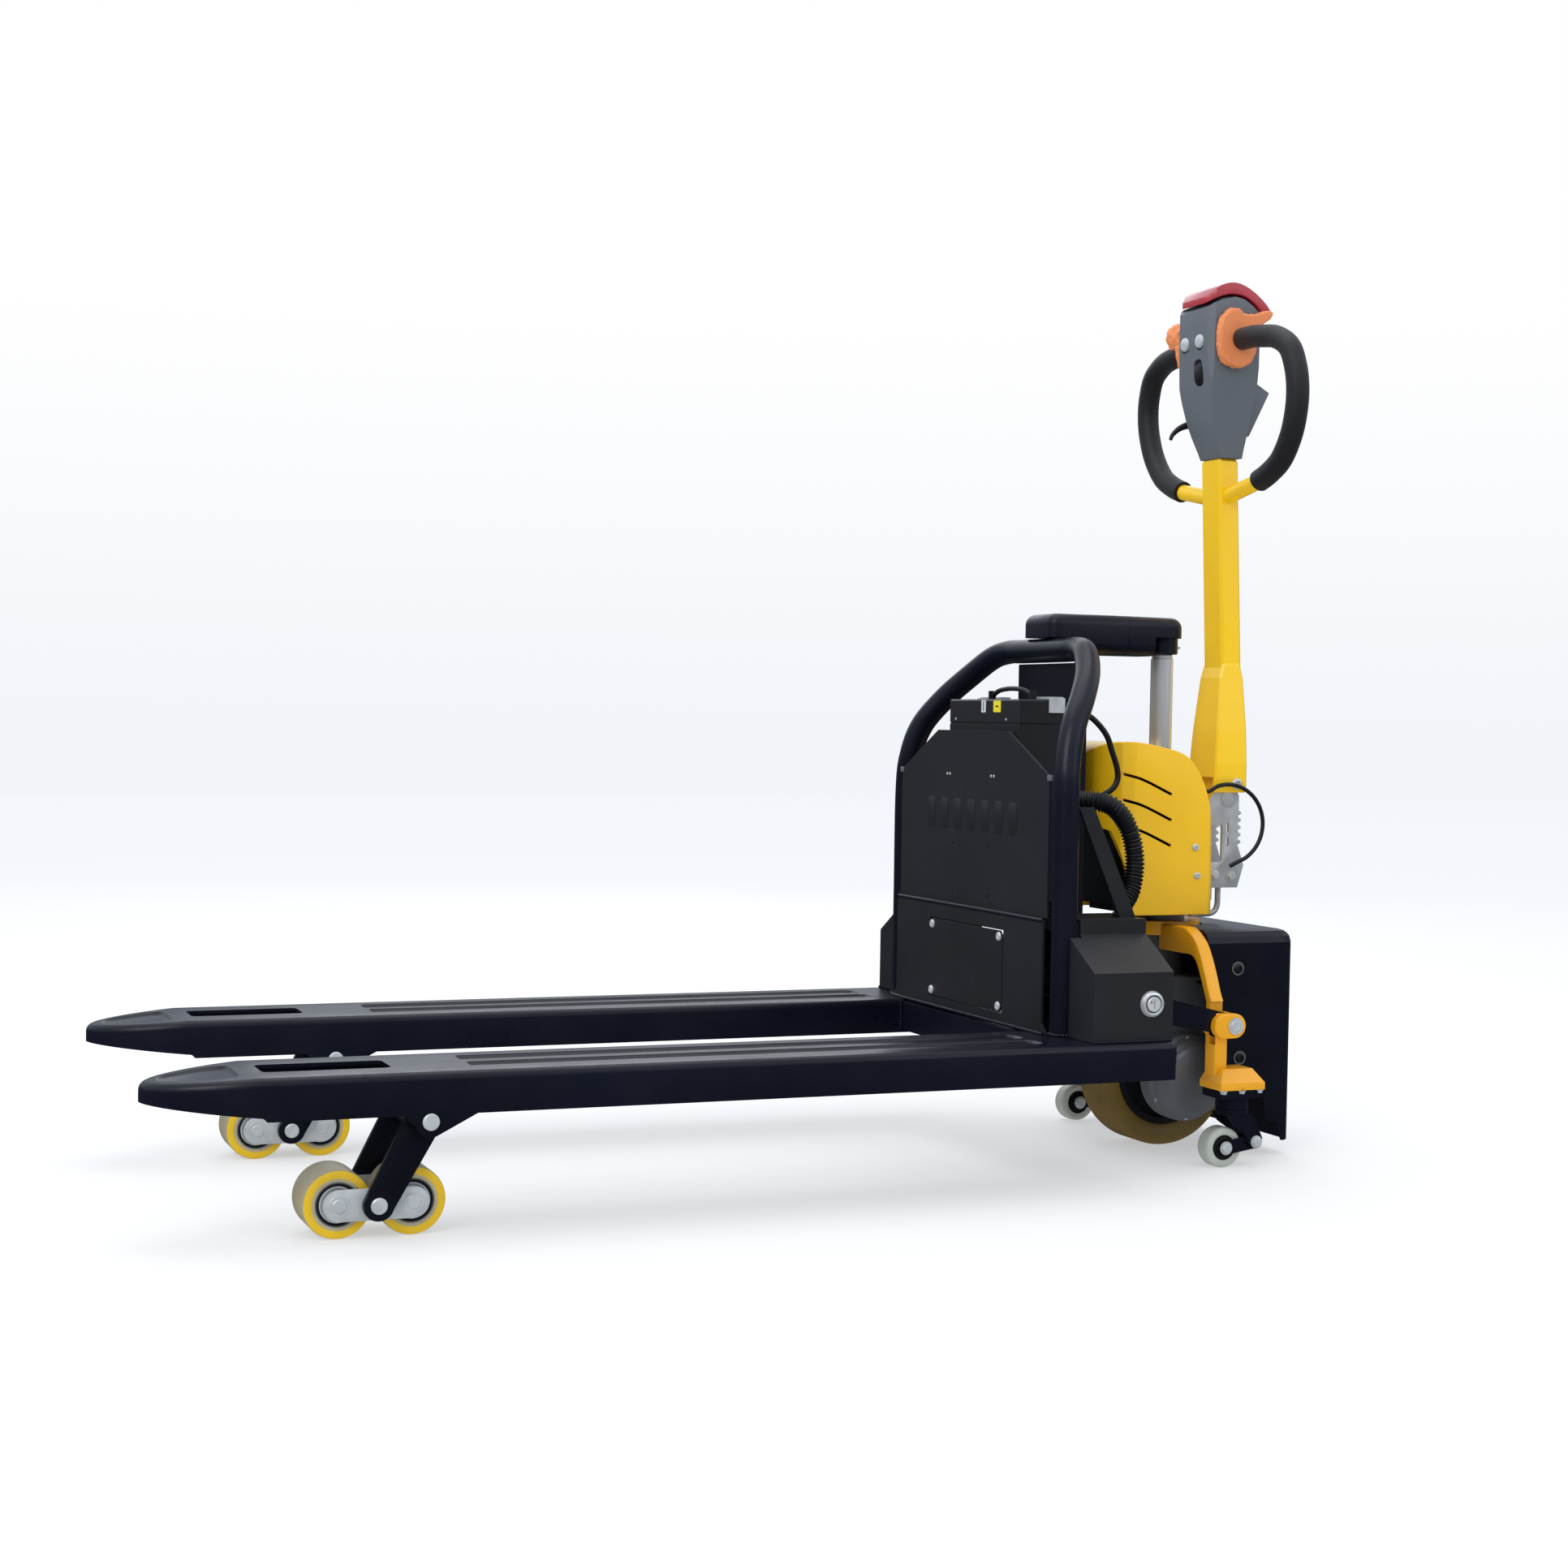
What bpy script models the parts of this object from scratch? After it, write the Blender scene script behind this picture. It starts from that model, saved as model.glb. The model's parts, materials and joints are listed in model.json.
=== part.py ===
"""Walkie electric pallet truck: forks, lift linkage, battery frame, steered drive unit and tiller.

Metres, +Z up. The tiller is at +X and the fork tips point to -X; +Y is the truck's left. Shapes are drawn
in a frame whose X = 0 is the fork heel and whose Z = 0 is the floor, under one root empty that moves the
middle of the truck's length to X = 0. The rest position has the forks raised and the tiller upright.
"""

import math

import bmesh
import bpy
from mathutils import Matrix, Vector

# Driving dimensions
HEEL_TO_MIDDLE = 0.3325
FORK_Y = 0.2625
FORK_HALF = 0.080
FORK_TOP = 0.195
FORK_BOTTOM = 0.146
FORK_END = 0.151
FORK_TIP = -1.150
NOSE_START = -1.020
SLOPE_START = -1.028
LOAD_END = -0.004
HEEL_DROP = 0.0004
PLATE = 0.004
SKIRT = 0.005
GAP = 0.0003

STEER_X = 0.318
WHEEL_R = 0.105
WHEEL_HALF = 0.035
EAR = (0.318, 0.194)
ROCKER_SHAFT = (0.083, 0.244)
ROCKER_ROD_PIN = (0.0617, 0.1527)

ARM_PIVOT = (-0.835, 0.138)
BOGIE_PIN = (-0.888, 0.040)
ARM_ROD_PIN = (-0.853, 0.172)
LOAD_WHEEL_R = 0.040
LOAD_WHEEL_HALF = 0.0346
AXLE_OFFSET = 0.0434

CASTER = (0.322, 0.203)
CASTER_AXLE = (0.303, 0.028)
CASTER_PIVOT = (0.349, 0.035)

TILLER_PIVOT = (0.415, 0.499)
TILLER_LEAN = -0.042
THROTTLE = (0.400, 1.158)
KEY_X, KEY_Z = 0.115, 0.244

COLOURS = {
    "black_paint": ((0.020, 0.022, 0.028), 0.35, 0.0),
    "yellow_paint": ((0.85, 0.48, 0.01), 0.35, 0.0),
    "yellow_plastic": ((0.88, 0.50, 0.01), 0.40, 0.0),
    "grey_plastic": ((0.13, 0.15, 0.17), 0.45, 0.0),
    "black_plastic": ((0.012, 0.012, 0.014), 0.45, 0.0),
    "black_foam": ((0.016, 0.016, 0.020), 0.85, 0.0),
    "orange_plastic": ((0.80, 0.28, 0.09), 0.45, 0.0),
    "red_plastic": ((0.60, 0.05, 0.09), 0.35, 0.0),
    "zinc_steel": ((0.62, 0.64, 0.66), 0.35, 1.0),
    "chrome_steel": ((0.75, 0.76, 0.78), 0.12, 1.0),
    "cast_alloy": ((0.42, 0.44, 0.46), 0.50, 0.8),
    "motor_paint": ((0.22, 0.23, 0.25), 0.45, 0.3),
    "yellow_tread": ((0.68, 0.55, 0.10), 0.50, 0.0),
    "brown_tread": ((0.38, 0.23, 0.04), 0.50, 0.0),
    "white_nylon": ((0.62, 0.63, 0.60), 0.50, 0.0),
}


def clear_scene():
    for obj in list(bpy.data.objects):
        bpy.data.objects.remove(obj, do_unlink=True)


def new_collection(name):
    collection = bpy.data.collections.new(name)
    bpy.context.scene.collection.children.link(collection)
    return collection


clear_scene()
TRUCK = new_collection("electric_pallet_truck")
TOOLS = new_collection("cutters_and_joined_shapes")
ROOT = bpy.data.objects.new("truck_root", None)
TRUCK.objects.link(ROOT)
ROOT.location = (HEEL_TO_MIDDLE, 0, 0)


def material(slot):
    found = bpy.data.materials.get(slot)
    if found:
        return found
    colour, roughness, metallic = COLOURS[slot]
    made = bpy.data.materials.new(slot)
    made.use_nodes = True
    shader = made.node_tree.nodes["Principled BSDF"]
    shader.inputs["Base Color"].default_value = (*colour, 1)
    shader.inputs["Roughness"].default_value = roughness
    shader.inputs["Metallic"].default_value = metallic
    return made


# ---- Shapes: each returns a hidden helper object in the heel frame ----


def helper(mesh, name):
    obj = bpy.data.objects.new(name, mesh)
    TOOLS.objects.link(obj)
    obj.parent = ROOT
    obj.hide_render = True
    obj.display_type = "WIRE"
    return obj


def from_bmesh(bm, name):
    mesh = bpy.data.meshes.new(name)
    bm.to_mesh(mesh)
    bm.free()
    return helper(mesh, name)


def bake(obj, name):
    """The evaluated shape of a curve or of an object with modifiers, as a plain closed mesh."""
    bpy.context.view_layer.update()
    graph = bpy.context.evaluated_depsgraph_get()
    mesh = bpy.data.meshes.new_from_object(obj.evaluated_get(graph))
    bm = bmesh.new()
    bm.from_mesh(mesh)
    bmesh.ops.remove_doubles(bm, verts=bm.verts, dist=1e-5)
    bmesh.ops.recalc_face_normals(bm, faces=bm.faces)
    bm.to_mesh(mesh)
    bm.free()
    bpy.data.objects.remove(obj, do_unlink=True)
    return helper(mesh, name)


def box(xs, ys, zs):
    bm = bmesh.new()
    bmesh.ops.create_cube(bm, size=1)
    size = [hi - lo for lo, hi in (xs, ys, zs)]
    middle = [(hi + lo) / 2 for lo, hi in (xs, ys, zs)]
    bmesh.ops.scale(bm, vec=size, verts=bm.verts)
    bmesh.ops.translate(bm, vec=middle, verts=bm.verts)
    return from_bmesh(bm, "box")


def rod(start, end, radius, sides=14, end_radius=None):
    start, end = Vector(start), Vector(end)
    along = end - start
    bm = bmesh.new()
    bmesh.ops.create_cone(
        bm, cap_ends=True, segments=sides, radius1=radius,
        radius2=radius if end_radius is None else end_radius, depth=along.length,
    )
    turn = along.to_track_quat("Z", "Y").to_matrix().to_4x4()
    bm.transform(Matrix.Translation((start + end) / 2) @ turn)
    return from_bmesh(bm, "rod")


PLANES = {
    "X": Matrix(((0, 0, 1, 0), (1, 0, 0, 0), (0, 1, 0, 0), (0, 0, 0, 1))),
    "Y": Matrix(((1, 0, 0, 0), (0, 0, -1, 0), (0, 1, 0, 0), (0, 0, 0, 1))),
    "Z": Matrix.Identity(4),
}


def plate(outline, axis, lo, hi):
    """A flat outline with thickness: outline is (y, z), (x, z) or (x, y) for axis X, Y or Z."""
    curve = bpy.data.curves.new("plate", "CURVE")
    curve.dimensions = "2D"
    curve.fill_mode = "BOTH"
    curve.extrude = (hi - lo) / 2
    spline = curve.splines.new("POLY")
    spline.points.add(len(outline) - 1)
    for point, (u, v) in zip(spline.points, outline):
        point.co = (u, v, 0, 1)
    spline.use_cyclic_u = True
    obj = bpy.data.objects.new("plate", curve)
    TOOLS.objects.link(obj)
    made = bake(obj, "plate")
    made.data.transform(PLANES[axis])
    shift = Vector([(hi + lo) / 2 if name == axis else 0 for name in "XYZ"])
    made.data.transform(Matrix.Translation(shift))
    return made


def tube(points, radius, resolution=2):
    curve = bpy.data.curves.new("tube", "CURVE")
    curve.dimensions = "3D"
    curve.bevel_depth = radius
    curve.bevel_resolution = resolution
    curve.use_fill_caps = True
    spline = curve.splines.new("POLY")
    spline.points.add(len(points) - 1)
    for point, place in zip(spline.points, points):
        point.co = (*place, 1)
    obj = bpy.data.objects.new("tube", curve)
    TOOLS.objects.link(obj)
    return bake(obj, "tube")


def turned(profile, axis, centre, sides=32, closed=False):
    """Turns (radius, height) points about an axis through centre. Closed profiles make rings."""
    bm = bmesh.new()
    made = [bm.verts.new((radius, 0, height)) for radius, height in profile]
    for first, second in zip(made, made[1:]):
        bm.edges.new((first, second))
    if closed:
        bm.edges.new((made[-1], made[0]))
    obj = from_bmesh(bm, "turned")
    screw = obj.modifiers.new("turn", "SCREW")
    screw.steps = screw.render_steps = sides
    screw.use_merge_vertices = True
    screw.merge_threshold = 1e-5
    solid = bake(obj, "turned")
    turn = {"X": Matrix.Rotation(math.pi / 2, 4, "Y"), "Y": Matrix.Rotation(-math.pi / 2, 4, "X"),
            "Z": Matrix.Identity(4)}[axis]
    solid.data.transform(Matrix.Translation(centre) @ turn)
    return solid


def strap(start, start_radius, end, end_radius, steps=4):
    """The outline round two circles, for a link or an arm."""
    along = math.atan2(end[1] - start[1], end[0] - start[0])
    length = math.dist(start, end)
    spread = math.acos((start_radius - end_radius) / length)
    points = []
    for centre, radius, first, last in (
        (end, end_radius, along - spread, along + spread),
        (start, start_radius, along + spread, along + 2 * math.pi - spread),
    ):
        for i in range(steps + 1):
            angle = first + (last - first) * i / steps
            points.append((centre[0] + radius * math.cos(angle), centre[1] + radius * math.sin(angle)))
    return points


def mirrored(outline):
    """A symmetric outline from its +u half."""
    return list(outline) + [(-u, v) for u, v in reversed(outline)]


def sided(outline, side):
    return [(u * side, v) for u, v in outline]


def span(a, b, side=1, centre=0):
    """An ordered Y range given on the +Y side."""
    return tuple(sorted((centre + a * side, centre + b * side)))


def part(name, base, slot, add=(), cut=(), pivot=(0, 0, 0), bevel=0, segments=2):
    base.name = name
    base.data.name = name
    TOOLS.objects.unlink(base)
    TRUCK.objects.link(base)
    base.hide_render = False
    base.display_type = "TEXTURED"
    base.data.transform(Matrix.Translation(-Vector(pivot)))
    base.location = pivot
    base.data.materials.clear()
    base.data.materials.append(material(slot))
    if bevel:
        rounding = base.modifiers.new("rounded edges", "BEVEL")
        rounding.width = bevel
        rounding.segments = segments
        rounding.limit_method = "ANGLE"
        rounding.angle_limit = math.radians(35)
    for operation, others in (("UNION", add), ("DIFFERENCE", cut)):
        for other in others:
            joined = base.modifiers.new(operation.lower(), "BOOLEAN")
            joined.operation = operation
            joined.object = other
    base.data.shade_smooth()
    base.data.set_sharp_from_angle(angle=math.radians(32))
    return base


def rounded(shape, width, segments=2):
    rounding = shape.modifiers.new("rounded edges", "BEVEL")
    rounding.width = width
    rounding.segments = segments
    rounding.limit_method = "ANGLE"
    rounding.angle_limit = math.radians(35)
    return shape


def joined(base, add=(), cut=()):
    """A helper shape that has others joined to it or cut from it."""
    for operation, others in (("UNION", add), ("DIFFERENCE", cut)):
        for other in others:
            modifier = base.modifiers.new(operation.lower(), "BOOLEAN")
            modifier.operation = operation
            modifier.object = other
    return base


def tiller_x(z):
    """The tiller's middle line, which leans towards the forks."""
    return 0.419 + TILLER_LEAN * (z - 0.715)


# ---- Forks and their linkage ----


def nose_half_width(x):
    along = (NOSE_START - x) / (NOSE_START - FORK_TIP)
    return FORK_HALF * (1 - along ** 1.75) ** 0.55


def fork(side, name):
    y = side * FORK_Y
    fractions = (0, 0.25, 0.45, 0.62, 0.76, 0.88)
    half = [(FORK_END, FORK_HALF)]
    half += [(NOSE_START + (FORK_TIP - NOSE_START) * t, nose_half_width(
        NOSE_START + (FORK_TIP - NOSE_START) * t)) for t in fractions]
    outline = half + [(FORK_TIP, 0.014)] + [(FORK_TIP, -0.014)] + [(u, -v) for u, v in reversed(half)]
    base = plate([(u, y + v) for u, v in outline], "Z", 0.090, FORK_TOP)
    bm = bmesh.new()
    bm.from_mesh(base.data)
    bmesh.ops.dissolve_limit(bm, angle_limit=0.01, verts=bm.verts, edges=bm.edges)
    bmesh.ops.bisect_plane(
        bm, geom=[*bm.verts, *bm.edges, *bm.faces], plane_co=(SLOPE_START, 0, 0), plane_no=(1, 0, 0)
    )
    for vert in bm.verts:
        if vert.co.z > FORK_BOTTOM and vert.co.x < SLOPE_START:
            vert.co.z -= 0.075 * (SLOPE_START - vert.co.x)
    bm.to_mesh(base.data)
    bm.free()
    lug = [(ARM_PIVOT[0] + 0.018 * math.cos(a), ARM_PIVOT[1] + 0.018 * math.sin(a))
           for a in [math.radians(d) for d in (190, 215, 240, 270, 300)]]
    underside = [(0.20, FORK_BOTTOM), (-0.780, FORK_BOTTOM), *reversed(lug), (-0.858, 0.137),
                 (-0.865, FORK_BOTTOM), (NOSE_START, FORK_BOTTOM), (NOSE_START, 0.150),
                 (-1.060, 0.154), (-1.100, 0.158), (-1.150, 0.163), (-1.20, 0.165),
                 (-1.20, 0.05), (0.20, 0.05)]
    below = plate(underside, "Y", y - 0.1, y + 0.1)
    inside = FORK_HALF - SKIRT
    cavity = box((NOSE_START + 0.002, 0.2), (y - inside, y + inside), (0.05, FORK_TOP - PLATE))
    pocket = box((NOSE_START - 0.014, -1.000), (y - 0.040, y + 0.040), (0.05, FORK_TOP - PLATE - GAP))
    mouth = plate(
        [(-1.0175, y - 0.024), (-1.0115, y - 0.030), (-0.875, y - 0.030), (-0.869, y - 0.024),
         (-0.869, y + 0.024), (-0.875, y + 0.030), (-1.0115, y + 0.030), (-1.0175, y + 0.024)],
        "Z", 0.180, 0.21,
    )
    arm_slot = box((0.052, 0.126), (y - 0.010, y + 0.010), (0.180, 0.21))
    bore = rod((ARM_PIVOT[0], y - 0.1, ARM_PIVOT[1]), (ARM_PIVOT[0], y + 0.1, ARM_PIVOT[1]), 0.0104)
    heel_step = box((LOAD_END, 0.2), (y - 0.1, y + 0.1), (FORK_TOP - HEEL_DROP, 0.21))
    part(name, base, "black_paint", cut=[below, cavity, pocket, mouth, arm_slot, bore, heel_step],
         bevel=0.006)


def load_arm(side, name):
    y = side * FORK_Y
    pivot = (ARM_PIVOT[0], y, ARM_PIVOT[1])
    outline = strap(ARM_PIVOT, 0.0215, BOGIE_PIN, 0.018, 5)
    near, far = (plate(outline, "Y", *span(0.0465, 0.054, s, y)) for s in (-1, 1))
    across = rod((pivot[0], y - 0.053, pivot[2]), (pivot[0], y + 0.053, pivot[2]), 0.0215, 16)
    pin = rod((pivot[0], y - 0.083, pivot[2]), (pivot[0], y + 0.083, pivot[2]), 0.0098, 12)
    lugs = strap(ARM_PIVOT, 0.016, ARM_ROD_PIN, 0.009, 3)
    ears = [plate(lugs, "Y", *span(0.012, 0.020, s, y)) for s in (-1, 1)]
    rod_pin = rod((ARM_ROD_PIN[0], y - 0.019, ARM_ROD_PIN[1]),
                  (ARM_ROD_PIN[0], y + 0.019, ARM_ROD_PIN[1]), 0.006, 8)
    holes = rod((BOGIE_PIN[0], y - 0.07, BOGIE_PIN[1]), (BOGIE_PIN[0], y + 0.07, BOGIE_PIN[1]), 0.0104, 12)
    part(name, near, "black_paint", add=[across, far, pin, *ears, rod_pin], cut=[holes], pivot=pivot)


def bogie_pin(side, name):
    y = side * FORK_Y
    centre = (BOGIE_PIN[0], y, BOGIE_PIN[1])
    half = [(0.0, 0.058), (0.0085, 0.058), (0.0098, 0.0567), (0.0098, 0.0385), (0.0023, 0.0355)]
    profile = half + [(r, -h) for r, h in reversed(half)]
    part(name, turned(profile, "Y", centre, 12), "zinc_steel", pivot=centre)


def bogie_carrier(side, name):
    y = side * FORK_Y
    x, z = BOGIE_PIN
    fore, aft = (x - AXLE_OFFSET, z), (x + AXLE_OFFSET, z)
    outline = strap(fore, 0.0185, aft, 0.0185, 5)
    near, far = (plate(outline, "Y", *span(0.0385, 0.0440, s, y)) for s in (-1, 1))
    axles = [rod((ax, y - 0.0456, z), (ax, y + 0.0456, z), 0.008, 12) for ax in (fore[0], aft[0])]
    hole = rod((x, y - 0.07, z), (x, y + 0.07, z), 0.0104, 12)
    part(name, near, "zinc_steel", add=[axles[0], far, axles[1]], cut=[hole], pivot=(x, y, z))


def load_wheel(side, offset, name):
    centre = (BOGIE_PIN[0] + offset, side * FORK_Y, BOGIE_PIN[1])
    half = [(0.0086, LOAD_WHEEL_HALF), (0.0370, LOAD_WHEEL_HALF), (LOAD_WHEEL_R, 0.0310)]
    profile = half + [(r, -h) for r, h in reversed(half)]
    wheel = turned(profile, "Y", centre, 24, closed=True)
    part(name, wheel, "yellow_tread", pivot=centre)


def push_rod(side, name):
    y = side * FORK_Y
    start = Vector((ROCKER_ROD_PIN[0], y, ROCKER_ROD_PIN[1]))
    end = Vector((ARM_ROD_PIN[0], y, ARM_ROD_PIN[1]))
    along = (end - start).normalized()
    bar = rod(start + along * 0.017, end - along * 0.016, 0.007, 8)
    part(name, bar, "black_paint", pivot=tuple(start))


def rocker():
    shaft = (ROCKER_SHAFT[0], 0, ROCKER_SHAFT[1])
    reach = FORK_Y + 0.010
    base = rod((shaft[0], -reach, shaft[2]), (shaft[0], reach, shaft[2]), 0.014, 14)
    add, cut = [], []
    for side in (-1, 1):
        add.append(plate(strap(ROCKER_SHAFT, 0.0215, EAR, 0.0145, 4), "Y", *span(0.1902, 0.2023, side)))
        down = strap(ROCKER_SHAFT, 0.0165, ROCKER_ROD_PIN, 0.0095, 3)
        add.append(plate(down, "Y", *span(FORK_Y - 0.006, FORK_Y + 0.006, side)))
        cut.append(rod((EAR[0], side * 0.18, EAR[1]), (EAR[0], side * 0.21, EAR[1]), 0.0086, 12))
    part("rocker", base, "black_paint", add=add, cut=cut, pivot=(EAR[0], 0, EAR[1]))


# ---- Fork frame ----


def heel_frame():
    cross = box((0.0, 0.149), (-0.1820, 0.1820), (0.150, 0.192))
    hollow = box((0.006, 0.143), (-0.176, 0.176), (0.10, 0.186))
    column = box((0.130, 0.1492), (-0.084, 0.084), (0.188, 0.688))
    shelf = box((0.031, 0.131), (-0.106, 0.106), (0.348, 0.3555))
    ribs = [plate([(0.131, 0.30), (0.131, 0.3482), (0.036, 0.3482)], "Y", *span(0.078, 0.084, s))
            for s in (-1, 1)]
    part("heel_frame", cross, "black_paint", add=[column, shelf, *ribs], cut=[hollow])


def lower_panel():
    outline = mirrored([(0.2375, 0.1955), (0.2255, 0.2085), (0.2255, 0.3455)])
    base = plate(outline, "X", 0.010, 0.014)
    opening = box((0.0, 0.03), (-0.1142, 0.1142), (0.2088, 0.3222))
    part("lower_panel", base, "black_paint", cut=[opening])


def inspection_cover():
    outline = mirrored([(0.105, 0.210), (0.113, 0.218), (0.113, 0.313), (0.105, 0.321)])
    part("inspection_cover", plate(outline, "X", 0.0092, 0.0125), "black_paint")


def front_plate():
    outline = mirrored([(0.2275, 0.3475), (0.2275, 0.534), (0.109, 0.592)])
    base = plate(outline, "X", 0.015, 0.018)
    holes = [rod((0.0, y, z), (0.03, y, z), 0.002, 8) for y in (-0.0545, 0.0545) for z in (0.3637, 0.4325)]
    part("front_plate", base, "black_paint", cut=holes)


def tube_guard():
    half = [(0.031, 0.246, 0.1955), (0.031, 0.246, 0.350), (0.031, 0.246, 0.500), (0.0347, 0.2407, 0.555),
            (0.0475, 0.2299, 0.599), (0.0732, 0.207, 0.639), (0.0973, 0.176, 0.671),
            (0.1158, 0.137, 0.698), (0.125, 0.102, 0.706), (0.125, 0.060, 0.706)]
    points = half + [(x, -y, z) for x, y, z in reversed(half)]
    part("tube_guard", tube(points, 0.017, 2), "black_paint")


def lift_arm():
    plan = [(0.113, -0.045), (0.220, -0.043)]
    plan += [(STEER_X + 0.027 * math.cos(a), 0.027 * math.sin(a))
             for a in [math.radians(d) for d in range(-80, 81, 20)]]
    plan += [(0.220, 0.043), (0.113, 0.045)]
    base = plate(plan, "Z", 0.702, 0.758)
    over_bar = box((0.05, 0.1505), (-0.07, 0.07), (0.65, 0.7245))
    under_end = box((0.288, 0.40), (-0.07, 0.07), (0.65, 0.7290))
    boss = rod((STEER_X, 0, 0.7058), (STEER_X, 0, 0.7400), 0.022, 18)
    base = rounded(joined(base, cut=[over_bar, under_end]), 0.005)
    part("lift_arm", base, "black_paint", add=[boss])


def side_box(side, name):
    outer = sided([(0.331, 0.1955), (0.331, 0.285), (0.2587, 0.328), (0.2587, 0.348), (0.165, 0.348),
                   (0.165, 0.344), (0.210, 0.344), (0.210, 0.1955)], side)
    base = plate(outer, "X", 0.030, 0.147)
    wall = 0.004
    inner = sided([(0.331 - wall, 0.15), (0.331 - wall, 0.283), (0.2587 - wall, 0.3256),
                   (0.2587 - wall, 0.344), (0.20, 0.344), (0.20, 0.15)], side)
    hollow = plate(inner, "X", 0.034, 0.143)
    rear_way = box((0.14, 0.16), span(0.15, 0.216, side), (0.15, 0.344))
    post_way = box((0.0, 0.0485), span(0.10, 0.2637, side), (0.15, 0.37))
    strut = plate([(0.118, 0.345), (0.142, 0.345), (0.075, 0.494), (0.052, 0.494)], "Y",
                  *span(0.2375, 0.2425, side))
    shell = joined(base, cut=[hollow, rear_way, post_way])
    add, cut = [strut], []
    if side < 0:
        add.append(rod((KEY_X, -0.3305, KEY_Z), (KEY_X, -0.336, KEY_Z), 0.015, 20, 0.0135))
        cut.append(rod((KEY_X, -0.32, KEY_Z), (KEY_X, -0.35, KEY_Z), 0.0104, 16))
    part(name, shell, "black_paint", add=add, cut=cut)


def ignition_key():
    base = rod((KEY_X, -0.3275, KEY_Z), (KEY_X, -0.3385, KEY_Z), 0.0099, 16)
    slot = box((KEY_X - 0.0008, KEY_X + 0.0008), (-0.345, -0.3360), (KEY_Z - 0.005, KEY_Z + 0.005))
    part("ignition_key", base, "zinc_steel", cut=[slot], pivot=(KEY_X, -0.331, KEY_Z))


def battery():
    base = box((0.031, 0.103), (-0.106, 0.106), (0.3565, 0.636))
    seam = joined(box((0.02, 0.12), (-0.12, 0.12), (0.6015, 0.6035)),
                  cut=[box((0.0325, 0.1015), (-0.1045, 0.1045), (0.59, 0.61))])
    lugs = [box((0.062, 0.072), (y - 0.002, y + 0.002), (0.635, 0.6485)) for y in (0.0435, -0.0785)]
    part("battery", base, "black_plastic", add=lugs, cut=[seam], bevel=0.002, segments=1)
    arch = [(0.067, 0.0372, 0.6425), (0.067, 0.033, 0.6450), (0.067, 0.016, 0.6495), (0.067, -0.0175, 0.6515),
            (0.067, -0.051, 0.6495), (0.067, -0.068, 0.6450), (0.067, -0.0722, 0.6425)]
    part("battery_handle", tube(arch, 0.0034), "black_plastic", pivot=(0.067, -0.0175, 0.6425))
    for side, name in ((1, "battery_latch_left"), (-1, "battery_latch_right")):
        bar = box((0.082, 0.098), span(0.046, 0.1095, side), (0.6364, 0.6400))
        leg = box((0.077, 0.101), span(0.1066, 0.1095, side), (0.618, 0.6385))
        part(name, bar, "zinc_steel", add=[leg], pivot=(0.090, side * 0.1, 0.638))


# ---- Chassis and casters ----


def chassis_casting():
    outer = [(0.050, 0.3220), (0.118, 0.3220), (0.135, 0.3145), (0.150, 0.3030), (0.164, 0.2830),
             (0.176, 0.2600), (0.188, 0.2340), (0.2045, 0.2100), (0.2045, 0.118)]
    inner = [(0.178, 0.118), (0.178, 0.2240), (0.160, 0.2600), (0.148, 0.2780), (0.135, 0.2850),
             (0.050, 0.2850)]
    ring = rod((STEER_X, 0, 0.3050), (STEER_X, 0, 0.3250), 0.062, 26)
    add = []
    cut = [rod((STEER_X, 0, 0.25), (STEER_X, 0, 0.36), 0.0412, 20)]
    for side in (-1, 1):
        add.append(plate(sided(outer + inner, side), "X", 0.292, 0.3122))
        add.append(plate(strap((0.302, 0.194), 0.017, EAR, 0.017), "Y", *span(0.178, 0.2145, side)))
        pad = joined(box((0.287, 0.357), span(0.176, 0.230, side), (0.108, 0.118)),
                     add=[frustum(side)])
        add.append(pad)
        slot = plate([(0.27, 0.168), (0.345, 0.168), (0.345, 0.226), (0.27, 0.226)], "Y",
                     *span(0.1890, 0.2035, side))
        cut.append(slot)
    base = joined(ring, add=add, cut=cut)
    pins = [rod((EAR[0], side * 0.180, EAR[1]), (EAR[0], side * 0.2165, EAR[1]), 0.008, 12)
            for side in (-1, 1)]
    part("chassis_casting", joined(base, add=pins), "yellow_paint")


def frustum(side):
    """The sloping top of a caster pad."""
    shape = box((0.287, 0.357), span(0.176, 0.230, side), (0.1175, 0.135))
    for vert in shape.data.vertices:
        if vert.co.z > 0.13:
            vert.co.x += 0.013 if vert.co.x < 0.32 else -0.0095
            vert.co.y += -0.018 * side if abs(vert.co.y) > 0.2 else 0
    return shape


def rear_guard():
    outer = rounded(box((0.20, 0.456), (-0.150, 0.150), (-0.10, 0.319)), 0.018, 3)
    inner = rounded(box((0.19, 0.452), (-0.146, 0.146), (-0.11, 0.315)), 0.014, 3)
    front = box((0.10, 0.3128), (-0.2, 0.2), (-0.2, 0.4))
    below = plate([(0.25, -0.2), (0.25, 0.100), (0.405, 0.100), (0.412, 0.050), (0.432, 0.046),
                   (0.440, 0.020), (0.48, 0.020), (0.48, -0.2)], "Y", -0.2, 0.2)
    opening = rod((STEER_X, 0, 0.25), (STEER_X, 0, 0.36), 0.0660, 24)
    part("rear_guard", outer, "black_paint", cut=[inner, front, below, opening])


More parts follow.
